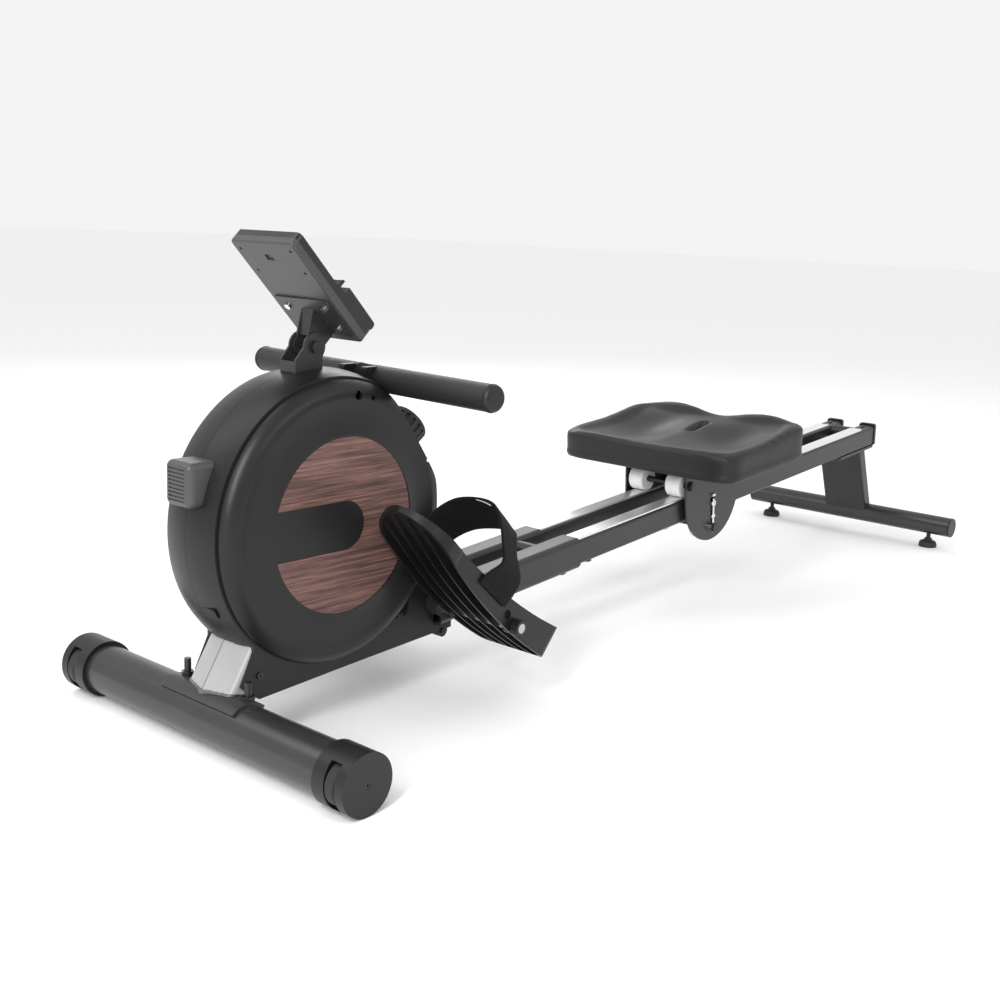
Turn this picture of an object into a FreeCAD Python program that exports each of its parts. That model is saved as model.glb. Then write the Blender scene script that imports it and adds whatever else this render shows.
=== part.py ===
import FreeCAD, Part
import math
import os

V = FreeCAD.Vector
os.makedirs("parts", exist_ok=True)

# +X runs from the flywheel to the seat, +Y is the rower's right-hand side, +Z is up, and the floor is z = 0.
# The pieces are drawn with x = 0 at the axis of the front stabilizer. The last step moves them all so
# that the origin lies under the middle of the whole machine.
X_AXIS = V(1, 0, 0)
Y_AXIS = V(0, 1, 0)
Z_AXIS = V(0, 0, 1)
SIDES = (-1, 1)

# ---------------------------------------------------------------- shared clearances
FIT = 0.1            # radial play of a bolt or a pushed-in tube
RUN = 0.05           # radial running clearance of a shaft
GAP = 0.4            # air between two bodies that slide past each other
SEAM = 0.2           # half of the parting line between the two covers

# ---------------------------------------------------------------- small cross-head screws
SCREW_R = 2.0
SCREW_HEAD_R = 4.0
SCREW_HEAD_H = 2.2
SCREW_L = 7.0

# ---------------------------------------------------------------- front stabilizer
STAB_R = 30.0
STAB_WALL = 2.0
STAB_HALF = 254.5    # mid-plane to the outer face of an end cap
CAP_R = 34.8
CAP_LENGTH = 46.0
CAP_SOCKET = 16.0    # how far the tube goes into the cap
CAP_RECESS = 2.6     # depth of the screw's counterbore
STAB_Z = CAP_R
WHEEL_R = 24.0
WHEEL_WIDTH = 13.0
WHEEL_SIDE_GAP = 1.5
WHEEL_PIN_R = 4.0
WHEEL_PIN_LENGTH = 5.0
WHEEL_STICKS_OUT = 0.8
STAB_BOLT_X = 8.0
STAB_BOLT_Y = 55.0
STAB_BOLT_R = 4.0
STAB_BOLT_ABOVE = 19.0
BOLT_HEAD_R = 7.0
BOLT_HEAD_H = 3.5
NUT_AF = 13.0
NUT_H = 7.0

# ---------------------------------------------------------------- front post and main beam
SADDLE_T = 3.5
SADDLE_HALF = 66.0
SADDLE_ANGLE = 42.0
POST_DEPTH = 40.0
POST_WIDTH = 77.0
POST_RIDGE = 8.5     # the front face is peaked: its middle stands this far out
BEAM_WIDTH = 30.0
POST_WALL = 2.5
POST_CORNER = 7.0
POST_LEAN = 31.0     # degrees from upright, foot forward
POST_FOOT_X = 26.1   # the post's axis at the height below
POST_FOOT_Z = 80.0
POST_CUT = 24.6      # slope of the post's sawn foot
POST_SCREW_X = 34.0  # the cover's screw into the post's side
POST_SCREW_Z = 85.0
FOOT_HALF = 16.0     # the middle of the foot is coped onto the stabilizer
BEAM_BOTTOM = 80.0
BEAM_HEIGHT = 40.0
BEAM_END_X = 345.0

# ---------------------------------------------------------------- drum-shaped housing
DRUM_X = 143.3
DRUM_Z = 244.8
CROWN_R = 176.7      # at the parting line
RIM_R = 170.0        # at the edge of the crown
RIM_Y = 42.0
FACE_R = 166.5       # the side face starts inside the groove
FACE_Y = 60.5
INLAY_R = 103.4
INLAY_T = 4.0
INLAY_GAP = 0.3
TONGUE_HALF = 29.0   # half height of the plain band that crosses the inlay
SHELL = 3.0
FACET_N = 146.4      # drum axis to the flat on the upper rear
FACET_ANGLE = 35.9   # direction of the flat's normal above the horizontal
BODY_HALF = 42.0
BODY_FRONT_TOP_X = 26.0
BODY_FRONT_TOP_Z = 114.0
BODY_NOSE_X = 8.0
BODY_NOSE_Z = 77.0
BODY_FRONT_X = 34.0
BODY_FRONT_Z = 57.0
BODY_MID_X = 172.0
BODY_MID_Z = 65.0
BODY_REAR_X = 350.0
BODY_REAR_LOW = 74.0
BODY_REAR_HIGH = 146.0
TAB_X = 335.0        # the screw tab under the rear end
TAB_Z = 71.5
TAB_R = 8.0
TAB_DEPTH = 14.0
PASS_GAP = 1.0       # covers stand clear of the steel that passes through them

# ---------------------------------------------------------------- bumper on the front of the drum
BUMPER_FACE_X = -44.0
BUMPER_Z = 306.5
BUMPER_HEIGHT = 50.0
BUMPER_WIDTH = 44.0
BUMPER_ROUND = 8.0
BUMPER_RIBS = 8
BUMPER_RIB_DEPTH = 1.6

# ---------------------------------------------------------------- drive inside the housing
PLATE_INNER = 34.5
PLATE_T = 3.5
PLATE_HALF_X = 15.0
PLATE_TOP = 402.0
AXLE_R = 6.0
FLY_R = 98.0
FLY_WIDTH = 14.0
FLY_Y = -20.0
FLY_RIM = 24.0
FLY_WEB = 6.0
HUB_R = 20.0
BEARING_R = 14.0
BEARING_W = 8.0
FLY_PULLEY_R = 18.0
BELT_Y = 20.0
BELT_W = 9.0
BELT_T = 2.0
SPOOL_X = 252.0
SPOOL_Z = 158.0
SPOOL_CORE_R = 20.0
SPOOL_FLANGE_R = 34.0
SPOOL_PULLEY_R = 40.0
STRAP_W = 22.0
STRAP_T = 1.8
STRAP_SIDE_GAP = 2.0
SPRING_R = 34.0
SPRING_W = 12.0
YOKE_PIVOT_UP = 118.0
YOKE_PIN_R = 4.0
YOKE_FROM = 100.0
YOKE_TO = 150.0
YOKE_INNER_R = 78.0
YOKE_OUTER_R = 109.0
YOKE_CHEEK = 4.5
YOKE_AIR = 1.5

# ---------------------------------------------------------------- tension knob on the flat
KNOB_R = 27.0
KNOB_LOW = 2.0
KNOB_HEIGHT = 40.0
KNOB_ALONG = -14.0   # along the flat, upwards from its middle
KNOB_FLUTES = 18
KNOB_FLUTE_R = 2.2
KNOB_STEM_R = 6.0
KNOB_STEM_IN = 14.0

# ---------------------------------------------------------------- pull handle
HANDLE_X = 232.4
HANDLE_Z = 404.4
HANDLE_HALF = 220.0
HANDLE_YAW = 4.5
HANDLE_CORE_R = 11.0
GRIP_R = 15.7
GRIP_GAP_HALF = 13.0
HANDLE_CAP = 7.0
CRADLE_IN = 14.0
CRADLE_OUT = 24.0
CRADLE_AIR = 0.6
RIM_HOLE_PITCH = 150.0   # from the drum's middle to the holes near each cover's rim
RIM_HOLE_ANGLES = (24.0, 73.5, 82.5)
RIM_HOLE_RADII = (3.0, 3.0, 5.5)
STRAP_SLOT_LOW = 36.0    # the strap's slot in the flat, measured along it from its middle
STRAP_SLOT_HIGH = 72.0
ROLLER_G_ALONG = 50.0
ROLLER_G_R = 8.0
ROLLER_G_DEPTH = 22.0
GUIDE_PIN_R = 3.0
GUIDE_HALF = 14.0
GUIDE_LUG_T = 4.0
GUIDE_LUG_R = 5.0

# ---------------------------------------------------------------- console
CON_X = 66.0         # upper back edge of the case
CON_Z = 560.5
CON_TILT = 45.7      # slope of the case, rear end low
CON_L = 152.0
CON_HALF = 53.0
CON_BACK_T = 9.0
CON_FRONT_T = 8.5
CON_CORNER = 6.0
REST_FROM = 78.0
REST_T = 11.0
REST_SLOT = 10.0
SCREEN_FROM = 12.0
SCREEN_TO = 52.0
SCREEN_HALF = 40.0
SCREEN_T = 1.5
BUTTON_X = 65.0
BUTTON_R = 5.5
BUTTON_UP = 1.6
BUTTON_TRAVEL = 1.2
DOOR_FROM = 28.0
DOOR_TO = 61.0
DOOR_HALF = 31.0
DOOR_T = 2.0
CON_PLATE_FROM = 84.0
CON_PLATE_TO = 140.0
CON_PLATE_HALF = 46.0
CON_PLATE_T = 2.0
CON_HOLES = ((12.0, 42.0), (44.5, 40.0))    # case screws, along and out from the middle
CON_SCREW_X = (98.5, 130.0)
CON_SCREW_Y = 31.0
PIVOT_X = 135.0
PIVOT_Z = 445.5
PIVOT_R = 4.0
EAR_HALF = 10.5
EAR_T = 2.5
EAR_R = 12.0
CPOST_X0 = 107.0
CPOST_X1 = 147.0
CPOST_HALF = 13.5
CPOST_T = 2.5
CPOST_EAR_R = 16.0
CPOST_WEB_TOP = 430.0

# ---------------------------------------------------------------- pedals
SHAFT_X = 315.0
SHAFT_Z = 114.5
SHAFT_R = 6.0
PIPE_R = 15.0
PIPE_HALF = 62.0
PEDAL_TILT = 41.0
PEDAL_IN = 73.0
PEDAL_OUT = 178.0
PEDAL_LENGTH = 306.0
PEDAL_SHAFT_S = 87.0
PEDAL_WALL = 4.0
PEDAL_BELLY = 10.0
PEDAL_TOE_UP = 18.0
PEDAL_TOE_H = 7.0
PEDAL_HEEL_H = 41.5
PEDAL_FLOOR_T = 3.5
PEDAL_RIBS = 4
PEDAL_RIB_T = 2.6
PEDAL_NUT_R = 10.0
PEDAL_NUT_T = 11.0
PSTRAP_FROM = 122.0
PSTRAP_W = 60.0
PSTRAP_T = 3.0
PSTRAP_LEG = 62.0
PSTRAP_TOP = 104.0

# ---------------------------------------------------------------- rails (their own sloping frame)
RAIL_X = 600.0       # origin of the sloping frame: top of the strips at this X
RAIL_Z = 151.1
RAIL_SLOPE = 4.6
RAIL_Y = 35.0
RAIL_W = 30.0
RAIL_H = 38.0
RAIL_WALL = 2.5
RAIL_CORNER = 5.0
RAIL_FROM = -150.0
RAIL_TO = 985.0
STRIP_T = 2.5
STRIP_W = 24.0
STRIP_LIP = 7.0
STRIP_FROM = 9.0
STRIP_TO = 934.0
SLEEVE_FROM = -285.0
SLEEVE_TO = 8.0
SLEEVE_WALL = 3.0
SLEEVE_PLAY = 1.0
SLEEVE_CORNER = 8.0
CROSS_R = 12.0
CROSS_DOWN = 14.0
CROSS_FRONT_X = -47.0
CROSS_REAR_X = 948.0
END_CAP_T = 7.0
END_CAP_OVER = 1.5
END_CAP_EAR = 4.0
STOP_SCREW_X = 966.0
JUNCTION_X = (-14.0, 22.0, 48.0)
FRAME_BOLT_R = 4.0
FRAME_BOLT_HEAD = 5.5
FRAME_BOLT_L = 14.0

# ---------------------------------------------------------------- rear leg and stabilizer
REAR_X = 1611.9
REAR_Z = 44.9
REAR_R = 18.7
REAR_HALF = 219.5
REAR_WALL = 2.0
REAR_CAP_T = 3.0
REAR_CAP_IN = 14.0
LEG_HALF = 44.0
LEG_T = 28.0
LEG_CORNER = 6.0
LEG_WALL = 2.5
LEG_LEAN = 24.0
LEG_PLATE_FROM = 846.0
LEG_PLATE_T = 5.0
LEG_BOLT_X = (858.0, 892.0, 926.0)
FOOT_IN = 45.0
FOOT_R = 17.0
FOOT_H = 12.0
STEM_R = 4.0
STEM_UP = 10.0

# ---------------------------------------------------------------- seat and carriage (rail frame)
SEAT_MID = 360.0
SEAT_L = 244.0
SEAT_HALF = 160.0
SEAT_BOTTOM = 52.0
SEAT_FRONT_T = 38.0
SEAT_REAR_T = 50.0
SEAT_CORNER = 34.0
CAR_HALF_L = 81.0
CAR_PLATE_Y = 56.0
CAR_PLATE_T = 3.0
CAR_ROUND_R = 81.0
CAR_ROUND_Z = -3.0
CAR_TOP_T = 4.0
ROLLER_R = 20.0
ROLLER_W = 26.0
ROLLER_AIR = 0.3
ROLLER_OFF = 68.0    # from the middle of the seat to each roller axle
ROLLER_AXLE_R = 5.0
LOW_R = 22.0
LOW_W = 16.0
WINDOW = 13.0
WINDOW_Z = -19.0
EYE_T = 4.0

nodes = {}


# ================================================================ small helpers
def box(x0, x1, y0, y1, z0, z1):
    return Part.makeBox(x1 - x0, y1 - y0, z1 - z0, V(x0, y0, z0))


def rod_y(x, z, radius, y0, y1):
    return Part.makeCylinder(radius, y1 - y0, V(x, y0, z), Y_AXIS)


def rod_z(x, y, radius, z0, z1):
    return Part.makeCylinder(radius, z1 - z0, V(x, y, z0), Z_AXIS)


def rod(start, end, radius):
    return Part.makeCylinder(radius, (end - start).Length, start, end - start)


def ring_y(x, z, outer, inner, y0, y1):
    return rod_y(x, z, outer, y0, y1).cut(rod_y(x, z, inner, y0, y1))


def polygon_y(points, y0, y1):
    """A prism whose outline is drawn in the XZ plane."""
    corners = [V(x, y0, z) for x, z in points]
    wire = Part.makePolygon(corners + corners[:1])
    return Part.Face(wire).extrude(V(0, y1 - y0, 0))


def edges_y(edges, y0, y1):
    """A prism whose closed outline of edges lies in the plane y = 0."""
    face = Part.Face(Part.Wire(edges))
    face.translate(V(0, y0, 0))
    return face.extrude(V(0, y1 - y0, 0))


def line(a, b):
    return Part.LineSegment(V(a[0], 0, a[1]), V(b[0], 0, b[1])).toShape()


def arc(a, b, c):
    return Part.Arc(V(a[0], 0, a[1]), V(b[0], 0, b[1]), V(c[0], 0, c[1])).toShape()


def hexagon(x, y, z0, z1, across_flats):
    radius = across_flats / math.sqrt(3)
    corners = []
    for i in range(7):
        a = math.radians(60 * i)
        corners.append(V(x + radius * math.cos(a), y + radius * math.sin(a), z0))
    return Part.Face(Part.makePolygon(corners)).extrude(V(0, 0, z1 - z0))


def round_edges(shape, radius, direction):
    """Fillets every straight edge that runs along one direction."""
    chosen = []
    for edge in shape.Edges:
        if edge.Curve.TypeId != "Part::GeomLine":
            continue
        if abs(abs(edge.tangentAt(edge.FirstParameter).dot(direction)) - 1) < 1e-6:
            chosen.append(edge)
    return shape.makeFillet(radius, chosen)


def bar_x(x0, x1, y_mid, width, z0, z1, corner):
    bar = box(x0, x1, y_mid - width / 2, y_mid + width / 2, z0, z1)
    return round_edges(bar, corner, X_AXIS)


def tube_x(x0, x1, y_mid, width, z0, z1, wall, corner):
    outer = bar_x(x0, x1, y_mid, width, z0, z1, corner)
    inner = bar_x(x0 - 1, x1 + 1, y_mid, width - 2 * wall, z0 + wall, z1 - wall, max(corner - wall, 0.5))
    return outer.cut(inner)


def group(shapes):
    return Part.makeCompound(shapes)


def union(shapes):
    whole = shapes[0]
    for shape in shapes[1:]:
        whole = whole.fuse(shape)
    return whole.removeSplitter()


def cut_all(shape, tools):
    for tool in tools:
        shape = shape.cut(tool)
    return shape


def placed(shape, placement):
    moved = shape.copy()
    moved.Placement = placement.multiply(moved.Placement)
    return moved


def frame_xz(x, z, down_degrees):
    """A local frame at (x, z) whose own x axis dips by an angle below the horizontal."""
    return FreeCAD.Placement(V(x, 0, z), FreeCAD.Rotation(Y_AXIS, down_degrees))


def both_sides(make):
    return [make(side) for side in SIDES]


def mirrored(shape):
    return shape.mirror(V(0, 0, 0), Y_AXIS)


def ribbon(points, thickness, width):
    """A strap of constant thickness that follows points in the XZ plane."""
    half = thickness / 2
    pieces = []
    for (ax, az), (bx, bz) in zip(points, points[1:]):
        length = math.hypot(bx - ax, bz - az)
        run = box(0, length, -width / 2, width / 2, -half, half)
        pieces.append(placed(run, frame_xz(ax, az, -math.degrees(math.atan2(bz - az, bx - ax)))))
    for x, z in points[1:-1]:
        pieces.append(rod_y(x, z, half, -width / 2, width / 2))
    return union(pieces)


RAIL = frame_xz(RAIL_X, RAIL_Z, -RAIL_SLOPE)
CONSOLE = frame_xz(CON_X, CON_Z, CON_TILT)


def on_rail(shape):
    return placed(shape, RAIL)


def on_console(shape):
    return placed(shape, CONSOLE)


FACET_DIR = V(math.cos(math.radians(FACET_ANGLE)), 0, math.sin(math.radians(FACET_ANGLE)))
FACET_UP = V(-FACET_DIR.z, 0, FACET_DIR.x)
DRUM_MID = V(DRUM_X, 0, DRUM_Z)


def facet_point(n, along):
    return DRUM_MID + FACET_DIR * n + FACET_UP * along


# ================================================================ front stabilizer
def cap_slot_y(side):
    """Start and end of the wheel slot along the machine's width."""
    inner = STAB_HALF - CAP_LENGTH + CAP_SOCKET + 2
    outer = inner + WHEEL_WIDTH + 2 * WHEEL_SIDE_GAP
    return sorted((side * inner, side * outer))


WHEEL_X = -(CAP_R - WHEEL_R + WHEEL_STICKS_OUT)


def front_cap(side):
    y0, y1 = sorted((side * (STAB_HALF - CAP_LENGTH), side * STAB_HALF))
    cap = rod_y(0, STAB_Z, CAP_R, y0, y1)
    socket = sorted((side * (STAB_HALF - CAP_LENGTH), side * (STAB_HALF - CAP_LENGTH + CAP_SOCKET)))
    cap = cap.cut(rod_y(0, STAB_Z, STAB_R + FIT, socket[0], socket[1]))
    s0, s1 = cap_slot_y(side)
    room = rod_y(WHEEL_X, STAB_Z, WHEEL_R + 2, s0, s1)
    room = room.fuse(box(-CAP_R - 1, WHEEL_X, s0, s1, STAB_Z - WHEEL_R - 2, STAB_Z + WHEEL_R + 2))
    pin = rod_y(WHEEL_X, STAB_Z, WHEEL_PIN_R + RUN, s0 - WHEEL_PIN_LENGTH + 1, s1 + WHEEL_PIN_LENGTH - 1)
    sunk = STAB_HALF - CAP_RECESS
    screw = rod_y(0, STAB_Z, SCREW_R + FIT, *sorted((side * (sunk - SCREW_L - 1), side * STAB_HALF)))
    recess = rod_y(0, STAB_Z, SCREW_HEAD_R + FIT, *sorted((side * sunk, side * STAB_HALF)))
    return cut_all(cap, [room, pin, screw, recess])


def transport_wheel(side):
    s0, s1 = cap_slot_y(side)
    wheel = rod_y(WHEEL_X, STAB_Z, WHEEL_R, s0 + WHEEL_SIDE_GAP, s1 - WHEEL_SIDE_GAP)
    wheel = wheel.makeChamfer(1.5, [e for e in wheel.Edges if e.Curve.TypeId == "Part::GeomCircle"])
    reach = WHEEL_PIN_LENGTH - 1 - GAP
    return wheel.fuse(rod_y(WHEEL_X, STAB_Z, WHEEL_PIN_R, s0 - reach, s1 + reach)).removeSplitter()


def stabilizer_bolt_parts(side):
    """A bolt up through the tube and the saddle, and the nut on top of it."""
    y = side * STAB_BOLT_Y
    low = STAB_Z - STAB_R
    seat = STAB_Z + STAB_R + SADDLE_T
    top = seat + STAB_BOLT_ABOVE
    x = STAB_BOLT_X
    shank = rod_z(x, y, STAB_BOLT_R, low - BOLT_HEAD_H, top)
    head = rod_z(x, y, BOLT_HEAD_R, low - BOLT_HEAD_H, low + BOLT_HEAD_H)
    head = head.cut(rod_y(0, STAB_Z, STAB_R, y - BOLT_HEAD_R, y + BOLT_HEAD_R))
    bolt = shank.fuse(head).removeSplitter()
    nut = hexagon(x, y, seat - NUT_H / 2, seat + NUT_H / 2, NUT_AF).cut(rod_z(x, y, STAB_BOLT_R, low, top))
    nut = nut.cut(rod_y(0, STAB_Z, STAB_R + SADDLE_T, y - BOLT_HEAD_R, y + BOLT_HEAD_R))
    return [bolt, nut]


def stabilizer_bolt_hole(side):
    return rod_z(STAB_BOLT_X, side * STAB_BOLT_Y, STAB_BOLT_R + FIT, 0, STAB_Z + STAB_R + 2 * STAB_BOLT_ABOVE)


def build_front_stabilizer():
    half = STAB_HALF - CAP_LENGTH + CAP_SOCKET
    tube = ring_y(0, STAB_Z, STAB_R, STAB_R - STAB_WALL, -half, half)
    nodes["front_stabilizer"] = cut_all(tube, both_sides(stabilizer_bolt_hole))
    nodes["front_end_caps"] = group(both_sides(front_cap))
    nodes["transport_wheel_left"] = transport_wheel(-1)
    nodes["transport_wheel_right"] = transport_wheel(1)
    nodes["stabilizer_bolts"] = group(sum(both_sides(stabilizer_bolt_parts), []))


# ================================================================ front post, beam, cross pipe
POST_FRAME = FreeCAD.Placement(V(POST_FOOT_X, 0, POST_FOOT_Z), FreeCAD.Rotation(Y_AXIS, POST_LEAN))


def post_bar(grow=0.0):
    """The post's outer shape; its own z axis runs up the post."""
    reach = 70.0 + grow
    front = -POST_DEPTH / 2 - grow
    half = POST_WIDTH / 2 + grow
    bar = round_edges(box(front, -front, -half, half, -reach, reach), POST_CORNER, Z_AXIS)
    corners = [V(front, POST_CORNER - half, -reach), V(front - POST_RIDGE, 0, -reach),
               V(front, half - POST_CORNER, -reach), V(front + POST_WALL, 0, -reach)]
    peak = Part.Face(Part.makePolygon(corners + corners[:1])).extrude(V(0, 0, 2 * reach))
    return placed(bar.fuse(peak).removeSplitter(), POST_FRAME)


def build_post_and_beam():
    inner = box(-POST_DEPTH / 2 + POST_WALL, POST_DEPTH / 2 - POST_WALL,
                -POST_WIDTH / 2 + POST_WALL, POST_WIDTH / 2 - POST_WALL, -100, 100)
    inner = placed(round_edges(inner, POST_CORNER - POST_WALL, Z_AXIS), POST_FRAME)
    beam_top = BEAM_BOTTOM + BEAM_HEIGHT
    stab_core = rod_y(0, STAB_Z, STAB_R, -SADDLE_HALF - 1, SADDLE_HALF + 1)
    ridge = STAB_Z + STAB_R + SADDLE_T
    below = placed(box(-300, 300, -100, 100, -300, 0), frame_xz(0, ridge, POST_CUT))
    below = below.cut(box(-FOOT_HALF, FOOT_HALF, -100, 100, STAB_Z, 2 * ridge))
    low = box(-300, 300, -100, 100, -300, STAB_Z)
    post = cut_all(post_bar(), [inner, below, low, stab_core])
    post = cut_all(post, [screw_hole_y(POST_SCREW_X, POST_SCREW_Z, BODY_HALF, side) for side in SIDES])
    spread = math.radians(SADDLE_ANGLE)
    far = 3 * CAP_R
    wedge = polygon_y([(0, STAB_Z), (far * math.sin(spread), STAB_Z + far * math.cos(spread)),
                       (-far * math.sin(spread), STAB_Z + far * math.cos(spread))],
                      -SADDLE_HALF, SADDLE_HALF)
    saddle = ring_y(0, STAB_Z, STAB_R + SADDLE_T, STAB_R, -SADDLE_HALF, SADDLE_HALF).common(wedge)
    post = cut_all(post.fuse(saddle).removeSplitter(), both_sides(stabilizer_bolt_hole))
    nodes["front_post"] = post

    beam = tube_x(0, BEAM_END_X, 0, BEAM_WIDTH, BEAM_BOTTOM, beam_top, POST_WALL, POST_CORNER)
    ahead = placed(box(-400, POST_DEPTH / 2, -100, 100, -300, 300), POST_FRAME)
    beam = beam.cut(ahead)
    pipe_solid = rod_y(SHAFT_X, SHAFT_Z, PIPE_R, -PIPE_HALF, PIPE_HALF)
    bore = rod_y(SHAFT_X, SHAFT_Z, SHAFT_R + RUN, -PIPE_HALF, PIPE_HALF)
    nodes["main_beam"] = beam.fuse(pipe_solid).cut(bore).removeSplitter()


# ================================================================ housing
def drum(profile_edges):
    """Half a drum on the near side: a profile of (radius, depth) turned about the drum axis."""
    wire = Part.Wire(profile_edges)
    half = Part.Face(wire).revolve(V(0, 0, 0), Y_AXIS, 360)
    half.translate(DRUM_MID)
    return half


def profile_line(a, b):
    return Part.LineSegment(V(a[0], -a[1], 0), V(b[0], -b[1], 0)).toShape()


def profile_arc(a, b, c):
    return Part.Arc(V(a[0], -a[1], 0), V(b[0], -b[1], 0), V(c[0], -c[1], 0)).toShape()


RING_IN_R = INLAY_R + 2.5
RING_OUT_R = 146.0
DISH = 3.3


def drum_outer():
    low = (0, 0)
    mid = (0, FACE_Y)
    p1 = (RING_IN_R, FACE_Y)
    p2 = (RING_OUT_R, FACE_Y - 2)
    p3 = (FACE_R, RIM_Y + 3)
    p4 = (FACE_R, RIM_Y)
    p5 = (RIM_R, RIM_Y)
    p6 = (CROWN_R, 0)
    dish = ((RING_IN_R + RING_OUT_R) / 2, FACE_Y - DISH)
    shoulder = (FACE_R - 6, FACE_Y - 7)
    crown = (CROWN_R - 1.6, RIM_Y / 2)
    return drum([profile_line(low, mid), profile_line(mid, p1), profile_arc(p1, dish, p2),
                 profile_arc(p2, shoulder, p3), profile_line(p3, p4), profile_line(p4, p5),
                 profile_arc(p5, crown, p6), profile_line(p6, low)])


def drum_inner():
    low = (0, 0)
    mid = (0, FACE_Y - INLAY_T - SHELL)
    p2 = (RING_OUT_R, FACE_Y - INLAY_T - SHELL)
    p3 = (FACE_R - SHELL, RIM_Y)
    p5 = (FACE_R - SHELL, RIM_Y - SHELL)
    p6 = (CROWN_R - SHELL, 0)
    shoulder = (FACE_R - SHELL - 5, FACE_Y - 10.5)
    crown = (CROWN_R - SHELL - 2.2, RIM_Y / 2)
    return drum([profile_line(low, mid), profile_line(mid, p2), profile_arc(p2, shoulder, p3),
                 profile_line(p3, p5), profile_arc(p5, crown, p6), profile_line(p6, low)])


def body_outline(inset):
    """The lower body under and behind the drum, drawn in by a wall where asked."""
    return [(BODY_FRONT_TOP_X + inset, DRUM_Z - 110), (BODY_FRONT_TOP_X + inset, BODY_FRONT_TOP_Z),
            (BODY_NOSE_X + inset, BODY_NOSE_Z), (BODY_FRONT_X + inset / 2, BODY_FRONT_Z + inset),
            (BODY_MID_X, BODY_MID_Z + inset), (BODY_REAR_X - inset, BODY_REAR_LOW + inset),
            (BODY_REAR_X - inset, BODY_REAR_HIGH - inset), (DRUM_X + 140, DRUM_Z - 50 - inset),
            (DRUM_X + 100, DRUM_Z)]


def below_facet(n):
    far = 500.0
    start = facet_point(n, -far)
    cutter = box(0, far, -200, 200, 0, 2 * far)
    return placed(cutter, FreeCAD.Placement(start, FreeCAD.Rotation(Y_AXIS, -FACET_ANGLE)))


def inlay_shape(grow, y0, y1):
    disc = rod_y(DRUM_X, DRUM_Z, INLAY_R + grow, y0, y1)
    half = TONGUE_HALF - grow
    tongue = rod_y(DRUM_X, DRUM_Z, half, y0, y1)
    tongue = tongue.fuse(box(DRUM_X - 2 * INLAY_R, DRUM_X, y0, y1, DRUM_Z - half, DRUM_Z + half))
    return disc.cut(tongue)


def near_cover():
    outer = drum_outer().fuse(polygon_y(body_outline(0), -BODY_HALF, 0)).removeSplitter()
    inner = drum_inner().fuse(polygon_y(body_outline(SHELL), -BODY_HALF + SHELL, 0)).removeSplitter()
    tab = rod_y(TAB_X, TAB_Z, TAB_R, -BODY_HALF, -BODY_HALF + TAB_DEPTH)
    outer = outer.cut(below_facet(FACET_N))
    inner = inner.cut(below_facet(FACET_N - SHELL))
    shell = outer.cut(inner).fuse(tab).removeSplitter().cut(box(-400, 800, -SEAM, 1, -10, 800))
    shell = shell.cut(inlay_shape(INLAY_GAP, -FACE_Y - 1, -FACE_Y + INLAY_T))
    return shell


def cover_openings():
    """Everything that passes through the two covers, with air round it."""
    post = post_bar(PASS_GAP)
    console = box(CPOST_X0 - PASS_GAP, CPOST_X1 + PASS_GAP, -CPOST_HALF - PASS_GAP,
                  CPOST_HALF + PASS_GAP, DRUM_Z, DRUM_Z + 2 * CROWN_R)
    pipe = rod_y(SHAFT_X, SHAFT_Z, PIPE_R + PASS_GAP, -PIPE_HALF - 1, PIPE_HALF + 1)
    tail = []
    for side in SIDES:
        sleeve = bar_x(SLEEVE_FROM - 2, SLEEVE_TO, side * RAIL_Y, SLEEVE_W + 2 * PASS_GAP,
                       SLEEVE_LOW - PASS_GAP, SLEEVE_HIGH + PASS_GAP, SLEEVE_CORNER)
        tail.append(on_rail(sleeve))
    beam = box(0, BODY_REAR_X + 1, -BEAM_WIDTH / 2 - PASS_GAP, BEAM_WIDTH / 2 + PASS_GAP,
               BEAM_BOTTOM - PASS_GAP, BEAM_BOTTOM + BEAM_HEIGHT + PASS_GAP)
    slot = box(-3 * SHELL, 3 * SHELL, -STRAP_W / 2 - STRAP_SIDE_GAP, STRAP_W / 2 + STRAP_SIDE_GAP,
               STRAP_SLOT_LOW, STRAP_SLOT_HIGH)
    slot = placed(slot, FreeCAD.Placement(facet_point(FACET_N, 0), FreeCAD.Rotation(Y_AXIS, -FACET_ANGLE)))
    knob = rod(facet_point(FACET_N - 3 * SHELL, KNOB_ALONG), facet_point(FACET_N + 3 * SHELL, KNOB_ALONG),
               KNOB_STEM_R + GAP)
    return [post, console, pipe, beam, slot, knob] + tail


def cover_screw_places():
    """Screws in the near cover as (x, z, y of the surface); the far cover has the same."""
    return [(TAB_X, TAB_Z, BODY_HALF), (POST_SCREW_X, POST_SCREW_Z, BODY_HALF),
            (DRUM_X + 110, DRUM_Z - 134, BODY_HALF)]


def rim_holes(side):
    """The screw holes near a cover's rim."""
    y0, y1 = sorted((side * (FACE_Y - 3 * SHELL), side * (FACE_Y + 1)))
    holes = []
    for angle, r in zip(RIM_HOLE_ANGLES, RIM_HOLE_RADII):
        a = math.radians(angle)
        holes.append(rod_y(DRUM_X + RIM_HOLE_PITCH * math.cos(a), DRUM_Z + RIM_HOLE_PITCH * math.sin(a), r, y0, y1))
    return holes


def cross_screw_y(x, z, y, side):
    head = rod_y(x, z, SCREW_HEAD_R, *sorted((side * y, side * (y + SCREW_HEAD_H))))
    shank = rod_y(x, z, SCREW_R, *sorted((side * (y - SCREW_L), side * y)))
    drive = box(x - 2.4, x + 2.4, *sorted((side * (y + 1), side * (y + 3))), z - 0.5, z + 0.5)
    drive = drive.fuse(box(x - 0.5, x + 0.5, *sorted((side * (y + 1), side * (y + 3))), z - 2.4, z + 2.4))
    return head.fuse(shank).cut(drive)


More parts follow.
